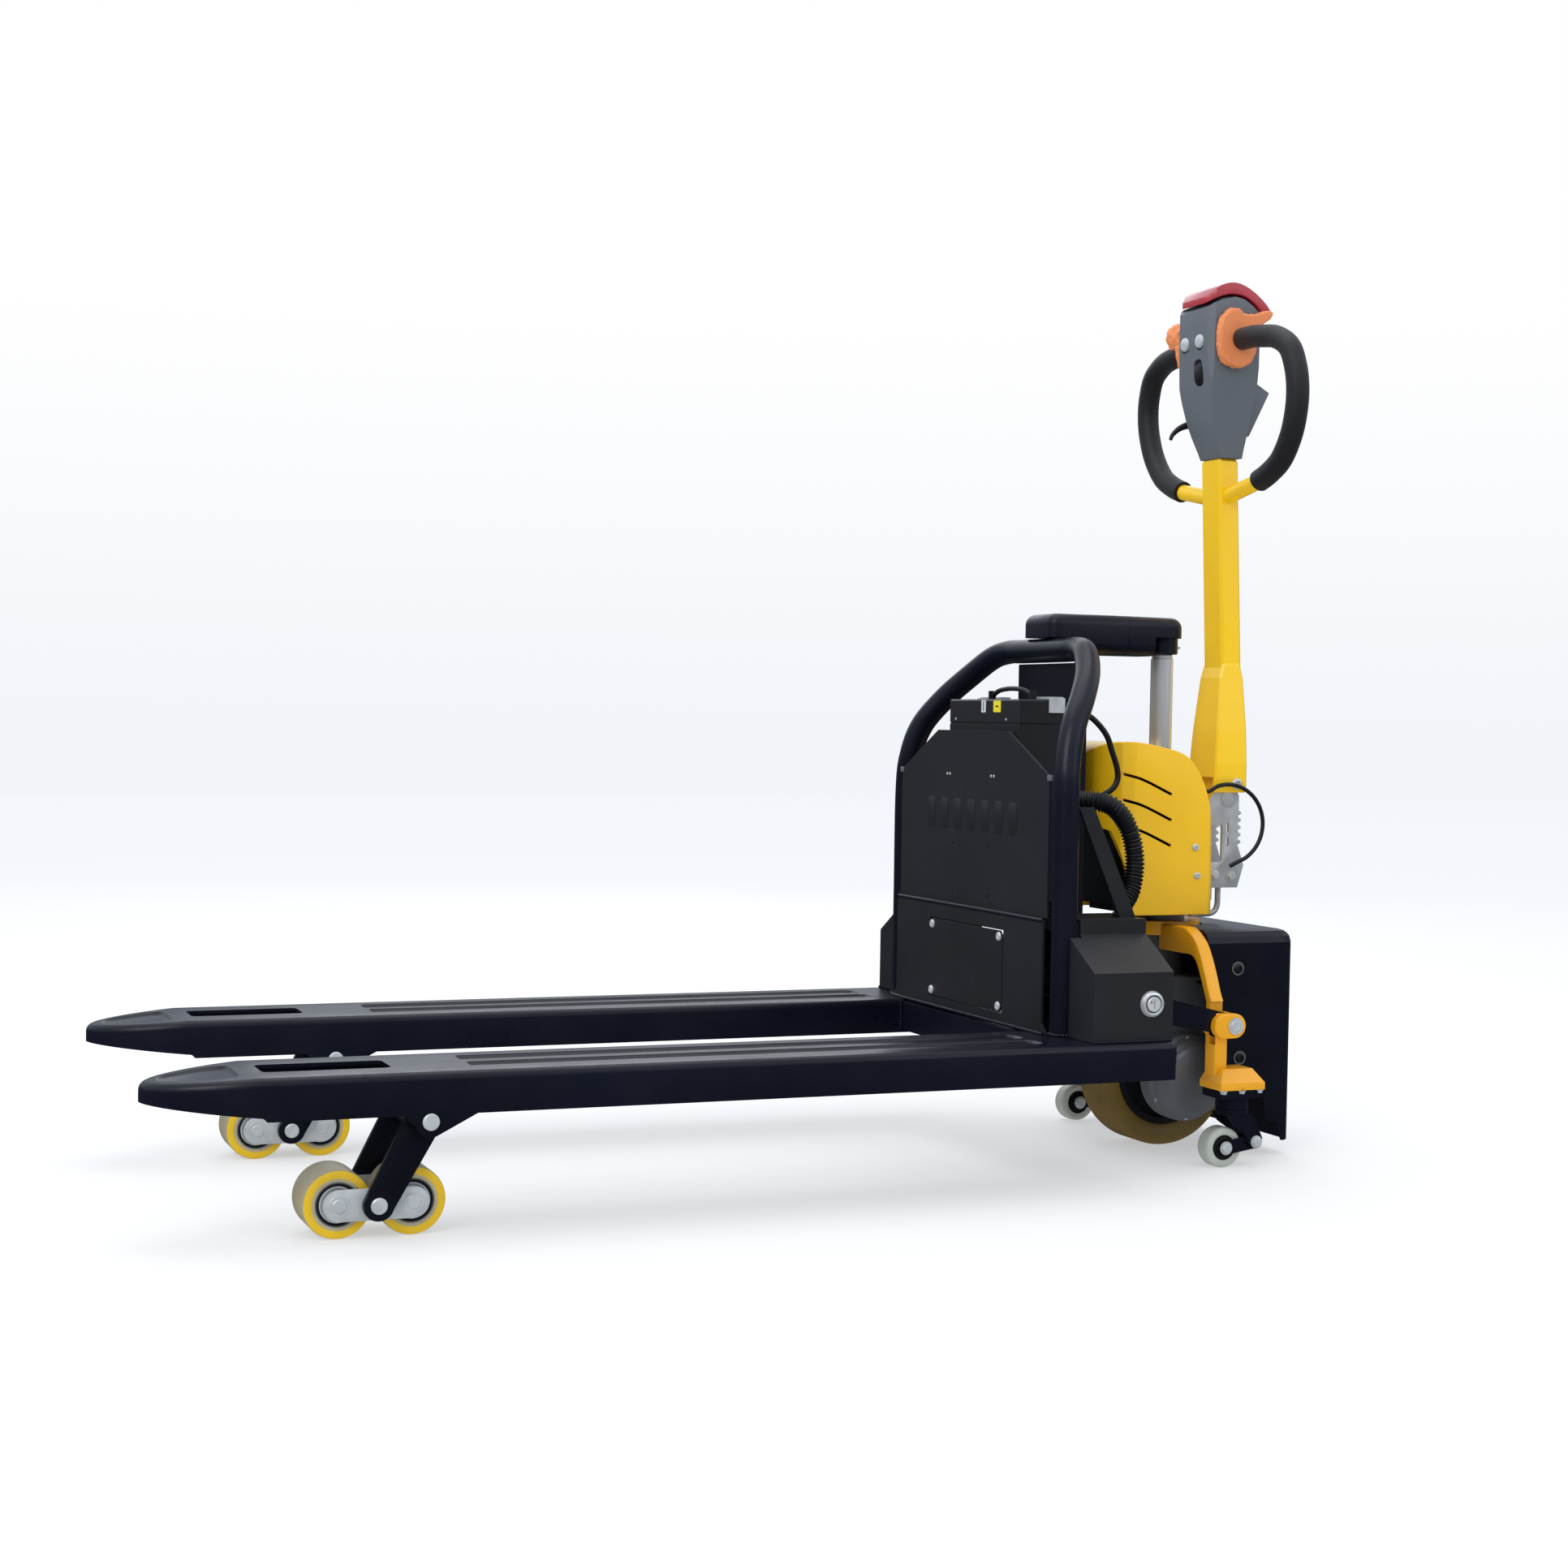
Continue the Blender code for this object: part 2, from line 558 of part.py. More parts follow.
def caster(side, name_end):
    y = side * CASTER[1]
    x = CASTER[0]
    mount = rod((x, y, 0.0803), (x, y, 0.1077), 0.023, 16)
    flange = box((0.290, 0.354), (y - 0.025, y + 0.025), (0.0960, 0.1077))
    part("caster_mount_" + name_end, mount, "black_paint", add=[flange])
    top = rod((x, y, 0.0715), (x, y, 0.0798), 0.0225, 14)
    cheek = [(0.302, 0.074), (0.342, 0.074), (0.359, 0.040), (0.356, 0.029), (0.348, 0.0255), (0.339, 0.029),
             (0.330, 0.048), (0.312, 0.060)]
    cheeks = [plate(cheek, "Y", *span(0.0178, 0.0208, s, y)) for s in (-1, 1)]
    pin = rod((CASTER_PIVOT[0], y - 0.0235, CASTER_PIVOT[1]), (CASTER_PIVOT[0], y + 0.0235, CASTER_PIVOT[1]),
              0.0045, 8)
    part("caster_bracket_" + name_end, top, "black_paint", add=[*cheeks, pin], pivot=(x, y, 0.0798))
    arm = strap(CASTER_PIVOT, 0.0095, CASTER_AXLE, 0.0095, 4)
    near, far = (plate(arm, "Y", *span(0.0142, 0.0172, s, y)) for s in (-1, 1))
    spacer = rod((CASTER_PIVOT[0], y - 0.0150, CASTER_PIVOT[1]),
                 (CASTER_PIVOT[0], y + 0.0150, CASTER_PIVOT[1]), 0.0085, 10)
    axle = rod((CASTER_AXLE[0], y - 0.0215, CASTER_AXLE[1]), (CASTER_AXLE[0], y + 0.0215, CASTER_AXLE[1]),
               0.0045, 8)
    bore = rod((CASTER_PIVOT[0], y - 0.03, CASTER_PIVOT[1]), (CASTER_PIVOT[0], y + 0.03, CASTER_PIVOT[1]),
               0.0049, 8)
    part("caster_swing_arm_" + name_end, near, "black_paint", add=[spacer, far, axle], cut=[bore],
         pivot=(CASTER_PIVOT[0], y, CASTER_PIVOT[1]))
    centre = (CASTER_AXLE[0], y, CASTER_AXLE[1])
    half = [(0.0049, 0.0130), (0.0235, 0.0130), (0.028, 0.0100)]
    wheel = turned(half + [(r, -h) for r, h in reversed(half)], "Y", centre, 20, closed=True)
    part("caster_wheel_" + name_end, wheel, "white_nylon", pivot=centre)


# ---- Steered drive unit ----


def drive_unit():
    x, z = STEER_X, WHEEL_R
    pipe = rod((x, 0, 0.240), (x, 0, 0.3330), 0.0400, 20)
    top = box((0.262, 0.374), (-0.0695, 0.045), (0.232, 0.246))
    cheek = plate(strap((x, 0.200), 0.048, (x, z), 0.055, 6), "Y", -0.070, -0.060)
    cheek_top = box((0.272, 0.364), (-0.0695, -0.0605), (0.190, 0.240))
    motor = turned([(0.0, 0.0295), (0.0120, 0.0295), (0.0120, -0.0450), (0.0300, -0.0450), (0.0300, -0.0650),
                    (0.0610, -0.0650), (0.0610, -0.1080), (0.0500, -0.1085), (0.0500, -0.1170),
                    (0.0440, -0.1230), (0.0, -0.1262)], "Y", (x, 0, z), 24)
    part("drive_unit", pipe, "motor_paint", add=[top, cheek_top, cheek, motor], pivot=(x, 0, 0.333))


def drive_wheel():
    centre = (STEER_X, 0, WHEEL_R)
    hub = [(0.0124, 0.0240), (0.0280, 0.0240), (0.0280, 0.0180), (0.0640, 0.0180), (0.0640, 0.0330),
           (0.0750, 0.0330), (0.0750, -0.0330), (0.0640, -0.0330), (0.0640, -0.0240), (0.0124, -0.0240)]
    part("drive_wheel_hub", turned(hub, "Y", centre, 24, closed=True), "black_plastic", pivot=centre)
    half = [(0.0762, WHEEL_HALF), (0.0980, WHEEL_HALF), (WHEEL_R, 0.0290)]
    profile = half + [(r, -h) for r, h in reversed(half)]
    part("drive_tyre", turned(profile, "Y", centre, 36, closed=True), "brown_tread", pivot=centre)


def lift_cylinder():
    barrel = [(0.0, 0.3334), (0.0290, 0.3334), (0.0290, 0.3480), (0.0262, 0.3500), (0.0262, 0.5430),
              (0.0300, 0.5450), (0.0300, 0.5610), (0.0285, 0.5630), (0.0166, 0.5630), (0.0166, 0.3400),
              (0.0, 0.3400)]
    part("lift_cylinder", turned(barrel, "Z", (STEER_X, 0, 0), 16), "black_paint")
    piston = turned([(0.0, 0.4550), (0.0160, 0.4550), (0.0160, 0.7035), (0.0140, 0.7053), (0.0, 0.7053)], "Z",
                    (STEER_X, 0, 0), 16)
    part("piston_rod", piston, "chrome_steel", pivot=(STEER_X, 0, 0.7053))


def pump_unit():
    base = box((0.205, 0.286), (-0.068, 0.068), (0.350, 0.500))
    foot = box((0.235, 0.3490), (-0.050, 0.050), (0.3375, 0.3505))
    hole = rod((STEER_X, 0, 0.30), (STEER_X, 0, 0.60), 0.0298, 16)
    part("pump_unit", base, "black_paint", add=[foot], cut=[hole])


def cover_plan(inset):
    half = [(0.1735, 0.030), (0.180, 0.056), (0.205, 0.088), (0.222, 0.095), (0.345, 0.095), (0.358, 0.082)]
    half = [(x + inset if x < 0.26 else x, y - inset) for x, y in half]
    return half + [(x, -y) for x, y in reversed(half)]


def cover_sky(inset):
    """Everything above and behind the cover's side profile, as a cutter."""
    profile = [(0.3600, 0.30), (0.3565, 0.345), (0.3545, 0.420), (0.3500, 0.470), (0.3380, 0.515),
               (0.3220, 0.545), (0.3000, 0.564), (0.2660, 0.573), (0.2260, 0.5795), (0.1950, 0.5780),
               (0.1780, 0.5680), (0.1700, 0.5500)]
    profile = [(x - inset if x > 0.3 else x, z - (inset if z > 0.5 else 0)) for x, z in profile]
    return profile + [(0.10, 0.545), (0.10, 0.70), (0.45, 0.70), (0.45, 0.30)]


def pump_cover():
    base = plate(cover_plan(0), "Z", 0.3370, 0.5850)
    sky = plate(cover_sky(0), "Y", -0.2, 0.2)
    hollow = joined(plate(cover_plan(0.003), "Z", 0.30, 0.5800),
                    cut=[plate(cover_sky(0.003), "Y", -0.3, 0.3)])
    front_way = box((0.10, 0.2000), (-0.045, 0.045), (0.30, 0.475))
    side_way = plate([(0.15, 0.30), (0.228, 0.30), (0.213, 0.400), (0.196, 0.455), (0.15, 0.475)],
                     "Y", -0.2, 0.2)
    collar = rod((STEER_X, 0, 0.45), (STEER_X, 0, 0.65), 0.0312, 18)
    slots = [plate([(0.178, 0.5385 - d), (0.186, 0.5425 - d), (0.240, 0.5285 - d), (0.283, 0.5090 - d),
                    (0.281, 0.5035 - d), (0.238, 0.5225 - d), (0.184, 0.5360 - d)], "Y", -0.2, 0.2)
             for d in (0, 0.036, 0.072)]
    slots = [joined(slot, cut=[box((0.1, 0.4), (-0.085, 0.085), (0.3, 0.6))]) for slot in slots]
    slots = [joined(slot, cut=[box((0.1, 0.193), (-0.3, 0.3), (0.3, 0.6))]) for slot in slots]
    part("pump_cover", base, "yellow_plastic", cut=[sky, hollow, front_way, side_way, collar, *slots])


def tiller_base():
    x, z = TILLER_PIVOT
    outline = [(0.3730, 0.4770), (0.3940, 0.5090), (0.4060, 0.5170), (0.4170, 0.5185), (0.4275, 0.5135),
               (0.4330, 0.5030), (0.4340, 0.4300), (0.4430, 0.4020), (0.4330, 0.3700), (0.3730, 0.3700)]
    plates = [plate(outline, "Y", *span(0.0265, 0.0316, s)) for s in (-1, 1)]
    window = box((0.3800, 0.4060), (-0.05, 0.05), (0.4070, 0.4610))
    block = box((0.3720, 0.4280), (-0.0290, 0.0290), (0.3720, 0.4020))
    foot = box((0.3595, 0.3960), (-0.0240, 0.0240), (0.3510, 0.3800))
    pin = rod((x, -0.0318, z), (x, 0.0318, z), 0.008, 16)
    spring = rod((0.393, 0, 0.395), (0.393, 0, 0.470), 0.0105, 12)
    route = [(0.409, -0.018, 0.3790), (0.409, -0.018, 0.352), (0.407, -0.018, 0.340), (0.401, -0.018, 0.3335),
             (0.392, -0.018, 0.3312), (0.3620, -0.018, 0.3312)]
    pipe = tube(route, 0.0042)
    part("tiller_base", plates[0], "cast_alloy", add=[block, plates[1], foot, spring, pin, pipe],
         cut=[window_ring(window)])


def window_ring(window):
    """The window's cutter, kept off the spring between the plates."""
    return joined(window, cut=[box((0.37, 0.42), (-0.0255, 0.0255), (0.39, 0.48))])


# ---- Tiller ----


def tiller_tube():
    x, z = TILLER_PIVOT
    low, high = 0.560, 0.9902
    side_view = [(tiller_x(low) - 0.0168, low), (tiller_x(low) + 0.0168, low),
                 (tiller_x(high) + 0.0168, high), (tiller_x(high) - 0.0168, high)]
    bar = rounded(plate(side_view, "Y", -0.025, 0.025), 0.004, 1)
    bracket_view = [(0.3870, 0.5080), (0.4430, 0.5080), (0.4425, 0.5970), (0.4390, 0.6740), (0.4335, 0.6960),
                    (0.4050, 0.6960), (0.3990, 0.6740), (0.3920, 0.5970)]
    bracket = plate(bracket_view, "Y", -0.0374, 0.0374)
    taper = [plate(sided([(0.0374, 0.550), (0.0346, 0.597), (0.0280, 0.674), (0.0265, 0.70), (0.06, 0.70),
                          (0.06, 0.550)], s), "X", 0.35, 0.48) for s in (-1, 1)]
    bracket = rounded(joined(bracket, cut=taper), 0.003, 1)
    hollow = box((0.3920, 0.4600), (-0.0322, 0.0322), (0.48, 0.5480))
    tongue = plate(strap((0.415, 0.560), 0.0125, (x, z), 0.0125, 5), "Y", -0.018, 0.018)
    bore = rod((x, -0.03, z), (x, 0.03, z), 0.0085, 16)
    front = box((0.35, 0.395), (-0.0322, 0.0322), (0.48, 0.5300))
    stubs = [rod((tiller_x(0.937), s * 0.015, 0.9355), (tiller_x(0.95), s * 0.1000, 0.9512), 0.0115, 12)
             for s in (-1, 1)]
    lower = joined(bracket, cut=[hollow, front])
    part("tiller_tube", lower, "yellow_paint", add=[bar, tongue, *stubs], cut=[bore], pivot=(x, 0, z))


def control_head():
    x, z = TILLER_PIVOT
    view = [(0.3925, 0.9906), (0.3720, 1.0465), (0.3590, 1.1300), (0.3575, 1.2000), (0.3660, 1.2080),
            (0.3800, 1.2145), (0.4000, 1.2185), (0.4150, 1.2155), (0.4290, 1.2070), (0.4410, 1.1960),
            (0.4400, 1.1000), (0.4340, 1.0450), (0.4270, 0.9906)]
    base = plate(view, "Y", -0.0465, 0.0465)
    taper = [plate(sided([(0.0275, 0.98), (0.0290, 1.000), (0.0420, 1.0800), (0.0470, 1.1250), (0.07, 1.1250),
                          (0.07, 0.98)], s), "X", 0.30, 0.52) for s in (-1, 1)]
    facets = [plate([(0.340, s * 0.0330), (0.3550, s * 0.0330), (0.3670, s * 0.0480), (0.340, s * 0.0480)],
                    "Z", 0.95, 1.25) for s in (-1, 1)]
    fin = plate([(0.4290, 1.1180), (0.4560, 1.1060), (0.4830, 1.0910), (0.4500, 1.0260), (0.4290, 1.0200)],
                "Y", -0.011, 0.011)
    shell = joined(base, cut=[*taper, *facets])
    cut = [rod((0.34, y, 1.1560), (0.3690, y, 1.1560), 0.0106, 16) for y in (-0.0185, 0.0205)]
    cut.append(box((0.34, 0.3760), (-0.0230, -0.0010), (1.0930, 1.1310)))
    cut.append(rod((THROTTLE[0], -0.06, THROTTLE[1]), (THROTTLE[0], 0.06, THROTTLE[1]), 0.0098, 16))
    part("control_head", shell, "grey_plastic", add=[fin], cut=cut, pivot=(x, 0, z))


def belly_button():
    lower = [(0.3580, 1.2085), (0.3700, 1.2158), (0.3850, 1.2212), (0.4000, 1.2232), (0.4180, 1.2205),
             (0.4340, 1.2115), (0.4460, 1.2005)]
    upper = [(0.4590, 1.1985), (0.4590, 1.2050), (0.4460, 1.2185), (0.4240, 1.2330), (0.4000, 1.2398),
             (0.3760, 1.2335), (0.3580, 1.2175)]
    part("belly_button", plate(lower + upper, "Y", -0.0430, 0.0430), "red_plastic", bevel=0.0025, segments=1,
         pivot=(0.400, 0, 1.2232))


def throttle(side, name):
    x, z = THROTTLE
    knob = [(0.3630, 1.1500), (0.3680, 1.1300), (0.3810, 1.1180), (0.4000, 1.1150), (0.4160, 1.1210),
            (0.4260, 1.1370), (0.4300, 1.1600), (0.4320, 1.1760), (0.4510, 1.1890), (0.4540, 1.1995),
            (0.4450, 1.2025), (0.4230, 1.1950), (0.4060, 1.1950), (0.3970, 1.2010), (0.3840, 1.2010),
            (0.3700, 1.1880), (0.3635, 1.1700)]
    base = plate(knob, "Y", *span(0.0480, 0.0620, side))
    bore = rod((x, side * 0.04, z), (x, side * 0.07, z), 0.0098, 16)
    part(name, base, "orange_plastic", cut=[bore], bevel=0.003, segments=1, pivot=(x, side * 0.055, z))


def grip(side, name):
    half = [(0.0640, 1.1560), (0.0900, 1.1560), (0.1180, 1.1530), (0.1500, 1.1470), (0.1800, 1.1300),
            (0.1940, 1.1030), (0.1990, 1.0750), (0.1960, 1.0450), (0.1830, 1.0100), (0.1580, 0.9780),
            (0.1280, 0.9610), (0.1025, 0.9520)]
    points = [(tiller_x(z), side * y, z) for y, z in half]
    points[0] = (0.4005, side * half[0][0], half[0][1])
    pin = rod((0.4000, side * 0.0475, 1.158), (0.4000, side * 0.0700, 1.158), 0.0090, 14)
    part(name, tube(points, 0.0160, 2), "black_foam", add=[pin],
         pivot=(TILLER_PIVOT[0], 0, TILLER_PIVOT[1]))


def head_controls():
    for y, name in ((-0.0185, "lift_button"), (0.0205, "lower_button")):
        cap = turned([(0.0, 0.0), (0.0100, 0.0), (0.0100, -0.0090), (0.0080, -0.0115), (0.0, -0.0120)], "X",
                     (0.3660, y, 1.1560), 16)
        part(name, cap, "zinc_steel", pivot=(0.3545, y, 1.156))
    switch = plate([(0.3720, 1.0960), (0.3650, 1.0945), (0.3590, 1.1120), (0.3625, 1.1295), (0.3720, 1.1280)],
                   "Y", -0.0222, -0.0018)
    part("speed_switch", switch, "black_plastic", pivot=(0.370, -0.012, 1.112))
    lever = [(0.3950, 0.0480, 1.0450), (0.3820, 0.0490, 1.0440), (0.3680, 0.0500, 1.0380),
             (0.3580, 0.0505, 1.0290), (0.3545, 0.0505, 1.0215)]
    hub = rod((0.3950, 0.0380, 1.0430), (0.3950, 0.0525, 1.0430), 0.0065, 10)
    part("lift_lever", tube(lever, 0.0040), "black_plastic", add=[hub], pivot=(0.395, 0.046, 1.043))


# ---- Cables ----


def cables():
    conduit = [(0.086, -0.175, 0.500), (0.100, -0.190, 0.501), (0.126, -0.200, 0.494),
               (0.149, -0.203, 0.466), (0.158, -0.207, 0.425), (0.150, -0.213, 0.385),
               (0.1335, -0.220, 0.362), (0.1330, -0.220, 0.3486)]
    part("conduit", tube(conduit, 0.0135, 2), "black_plastic")
    lead = [(0.100, -0.150, 0.622), (0.116, -0.162, 0.610), (0.134, -0.165, 0.590), (0.1435, -0.165, 0.568),
            (0.152, -0.165, 0.545), (0.1530, -0.165, 0.529), (0.145, -0.165, 0.516), (0.128, -0.160, 0.506),
            (0.110, -0.150, 0.503)]
    part("battery_lead", tube(lead, 0.0040), "black_plastic")
    loop = [(0.3615, -0.0430, 0.5180)]
    loop += [(0.4060 + 0.0600 * math.cos(a), -0.0445, 0.4625 + 0.0575 * math.sin(a))
             for a in [math.radians(d) for d in (125, 105, 85, 65, 45, 25, 5, -15, -35, -55, -73)]]
    loop.append((0.4130, -0.0430, 0.4020))
    part("tiller_cable", tube(loop, 0.0030), "black_plastic")


# ---- Assembly ----

SIDES = ((1, "left"), (-1, "right"))
for side, word in SIDES:
    fork(side, "fork_" + word)
    load_arm(side, "load_arm_" + word)
    bogie_pin(side, "bogie_pin_" + word)
    bogie_carrier(side, "bogie_carrier_" + word)
    load_wheel(side, -AXLE_OFFSET, "load_wheel_front_" + word)
    load_wheel(side, AXLE_OFFSET, "load_wheel_rear_" + word)
    push_rod(side, "push_rod_" + word)
    side_box(side, "side_box_" + word)
    caster(side, word)
    throttle(side, "throttle_" + word)
    grip(side, "grip_" + word)
rocker()
heel_frame()
lower_panel()
inspection_cover()
front_plate()
tube_guard()
lift_arm()
ignition_key()
battery()
chassis_casting()
rear_guard()
drive_unit()
drive_wheel()
lift_cylinder()
pump_unit()
pump_cover()
tiller_base()
tiller_tube()
control_head()
belly_button()
head_controls()
cables()
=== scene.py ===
"""Electric pallet truck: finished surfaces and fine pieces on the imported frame."""

import json
import math

import bmesh  # noqa: E402
import bpy  # noqa: E402
from mathutils import Matrix, Vector, noise  # noqa: E402

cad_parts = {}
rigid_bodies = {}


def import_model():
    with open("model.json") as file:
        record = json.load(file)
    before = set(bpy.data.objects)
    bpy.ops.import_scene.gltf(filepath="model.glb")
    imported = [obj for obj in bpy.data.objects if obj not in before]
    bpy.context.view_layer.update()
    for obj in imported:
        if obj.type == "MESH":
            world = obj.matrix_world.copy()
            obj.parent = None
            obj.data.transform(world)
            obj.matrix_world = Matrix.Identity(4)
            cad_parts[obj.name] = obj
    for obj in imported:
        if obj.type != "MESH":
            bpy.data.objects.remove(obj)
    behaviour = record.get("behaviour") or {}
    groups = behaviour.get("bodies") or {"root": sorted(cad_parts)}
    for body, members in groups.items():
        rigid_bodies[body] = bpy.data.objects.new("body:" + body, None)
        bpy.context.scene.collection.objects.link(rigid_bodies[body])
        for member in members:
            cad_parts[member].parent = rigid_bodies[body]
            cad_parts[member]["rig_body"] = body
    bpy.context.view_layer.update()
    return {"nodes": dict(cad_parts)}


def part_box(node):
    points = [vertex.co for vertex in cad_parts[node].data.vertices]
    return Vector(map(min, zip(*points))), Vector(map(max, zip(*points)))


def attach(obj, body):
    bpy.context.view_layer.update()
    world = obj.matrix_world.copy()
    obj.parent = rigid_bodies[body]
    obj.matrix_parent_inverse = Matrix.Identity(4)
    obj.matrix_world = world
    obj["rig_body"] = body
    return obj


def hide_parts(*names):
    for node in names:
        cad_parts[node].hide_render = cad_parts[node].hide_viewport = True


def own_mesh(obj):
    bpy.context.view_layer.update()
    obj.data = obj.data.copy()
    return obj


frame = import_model()
NODES = frame["nodes"]

# Shapes are drawn in a frame whose X = 0 is the fork heel; the fork tips give its place in the row frame.
FORK_REACH = 1.15
HEEL = Matrix.Translation((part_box("fork_left")[0].x + FORK_REACH, 0, 0))

SIDES = ((1, "left"), (-1, "right"))
FORK_Y = 0.2625
STEER_X = 0.318
WHEEL_R = 0.105
TILLER_PIVOT = (0.415, 0.499)
THROTTLE = (0.4, 1.158)
BOGIE_PIN = (-0.888, 0.04)
ARM_PIVOT = (-0.835, 0.138)
AXLE_OFFSET = 0.0434
CASTER_AXLE = (0.303, 0.028)
CASTER_PIVOT = (0.349, 0.035)
CASTER_Y = 0.203


# ---- Camera, floor and light ----


def new_object(data, name="shape"):
    obj = bpy.data.objects.new(name, data)
    bpy.context.scene.collection.objects.link(obj)
    return obj


def node_tree(block):
    block.use_nodes = True
    return block.node_tree.nodes, block.node_tree.links


def fill(node, values):
    """The shader node with these inputs set."""
    for socket, value in values.items():
        node.inputs[socket].default_value = value
    return node


def camera():
    data = bpy.data.cameras.new("camera")
    data.sensor_width = 36
    data.lens = 55.54
    data.shift_x = -0.0028
    data.shift_y = 0.0082
    data.clip_end = 50
    obj = new_object(data, "camera")
    yaw, pitch, roll = (math.radians(a) for a in (22.34, 1.86, 0.98))
    forward = Vector((math.sin(yaw) * math.cos(pitch), math.cos(yaw) * math.cos(pitch), -math.sin(pitch)))
    right = Vector((math.cos(yaw), -math.sin(yaw), 0))
    up = right.cross(forward)
    right = right * math.cos(roll) + up * math.sin(roll)
    up = right.cross(forward)
    turn = Matrix((right, up, -forward)).transposed()
    obj.matrix_world = Matrix.Translation((-1.1741, -3.0304, 0.6046)) @ turn.to_4x4()
    bpy.context.scene.camera = obj


def area_light(name, place, aim, size, power, colour=(1, 1, 1)):
    data = bpy.data.lights.new(name, "AREA")
    data.shape = "RECTANGLE"
    data.size, data.size_y = size
    data.energy = power
    data.color = colour
    obj = new_object(data, name)
    obj.location = place
    obj.rotation_mode = "QUATERNION"
    obj.rotation_quaternion = (Vector(aim) - Vector(place)).to_track_quat("-Z", "Y")


def sky_ramp(nodes, links, height, stops):
    """A colour ramp over height. stops are (height, colour), the lowest and the highest first."""
    ramp = nodes.new("ShaderNodeValToRGB")
    elements = ramp.color_ramp.elements
    for element, (position, colour) in zip((elements[0], elements[1]), stops):
        element.position = position
        element.color = (*colour, 1)
    for position, colour in stops[2:]:
        elements.new(position).color = (*colour, 1)
    links.new(height, ramp.inputs[0])
    return ramp.outputs[0]


def studio():
    """A bright sky that lights the object, and a near-white backdrop that only the camera sees."""
    scene = bpy.context.scene
    scene.view_settings.view_transform = "Standard"
    scene.world = bpy.data.worlds.new("studio")
    nodes, links = node_tree(scene.world)
    coords = nodes.new("ShaderNodeTexCoord")
    split = nodes.new("ShaderNodeSeparateXYZ")
    links.new(coords.outputs["Generated"], split.inputs[0])
    sky, backdrop = nodes["Background"], nodes.new("ShaderNodeBackground")
    for shader, stops in (
        (sky, ((0.0, (0.05, 0.055, 0.065)), (1.0, (1, 1, 1)), (0.35, (0.66, 0.73, 0.84)))),
        (backdrop, ((0.0, (0.885, 0.91, 0.95)), (0.16, (1, 1, 1)))),
    ):
        links.new(sky_ramp(nodes, links, split.outputs["Z"], stops), shader.inputs["Color"])
    sky.inputs["Strength"].default_value = 1.12
    path = nodes.new("ShaderNodeLightPath")
    mix = nodes.new("ShaderNodeMixShader")
    links.new(path.outputs["Is Camera Ray"], mix.inputs[0])
    links.new(sky.outputs[0], mix.inputs[1])
    links.new(backdrop.outputs[0], mix.inputs[2])
    links.new(mix.outputs[0], nodes["World Output"].inputs["Surface"])
    area_light("key", (-3.2, -2.6, 3.4), (0, 0, 0.4), (2.6, 2.6), 75, (1, 0.985, 0.96))
    area_light("fill", (3.4, -3.6, 2.2), (0.3, 0, 0.5), (2.4, 2.4), 14, (0.95, 0.97, 1))
    area_light("top", (0.2, 0.4, 4.0), (0.1, 0, 0), (3.4, 2.6), 36, (0.96, 0.98, 1))
    area_light("back", (1.5, 4.2, 2.4), (0.1, 0, 0.5), (3.0, 2.0), 22)


def floor():
    mesh = bpy.data.meshes.new("floor")
    reach = 14
    corners = [(x * reach, y * reach, 0) for x, y in ((-1, -1), (1, -1), (1, 1), (-1, 1))]
    mesh.from_pydata(corners, [], [(0, 1, 2, 3)])
    obj = new_object(mesh, "floor")
    made = bpy.data.materials.new("pale_floor")
    nodes, links = node_tree(made)
    shader = nodes["Principled BSDF"]
    fill(shader, {"Roughness": 0.75, "Emission Color": (0.97, 0.985, 1.0, 1), "Emission Strength": 0.46})
    grain = fill(nodes.new("ShaderNodeTexNoise"), {"Scale": 3})
    tone = fill(nodes.new("ShaderNodeMapRange"), {"To Min": 0.45, "To Max": 0.47})
    links.new(grain.outputs["Fac"], tone.inputs["Value"])
    links.new(tone.outputs[0], shader.inputs["Base Color"])
    mesh.materials.append(made)
    obj.visible_glossy = False


# ---- Materials ----


SPECK_SCALE, SPECK_RANGE = 260, (0.66, 0.74)


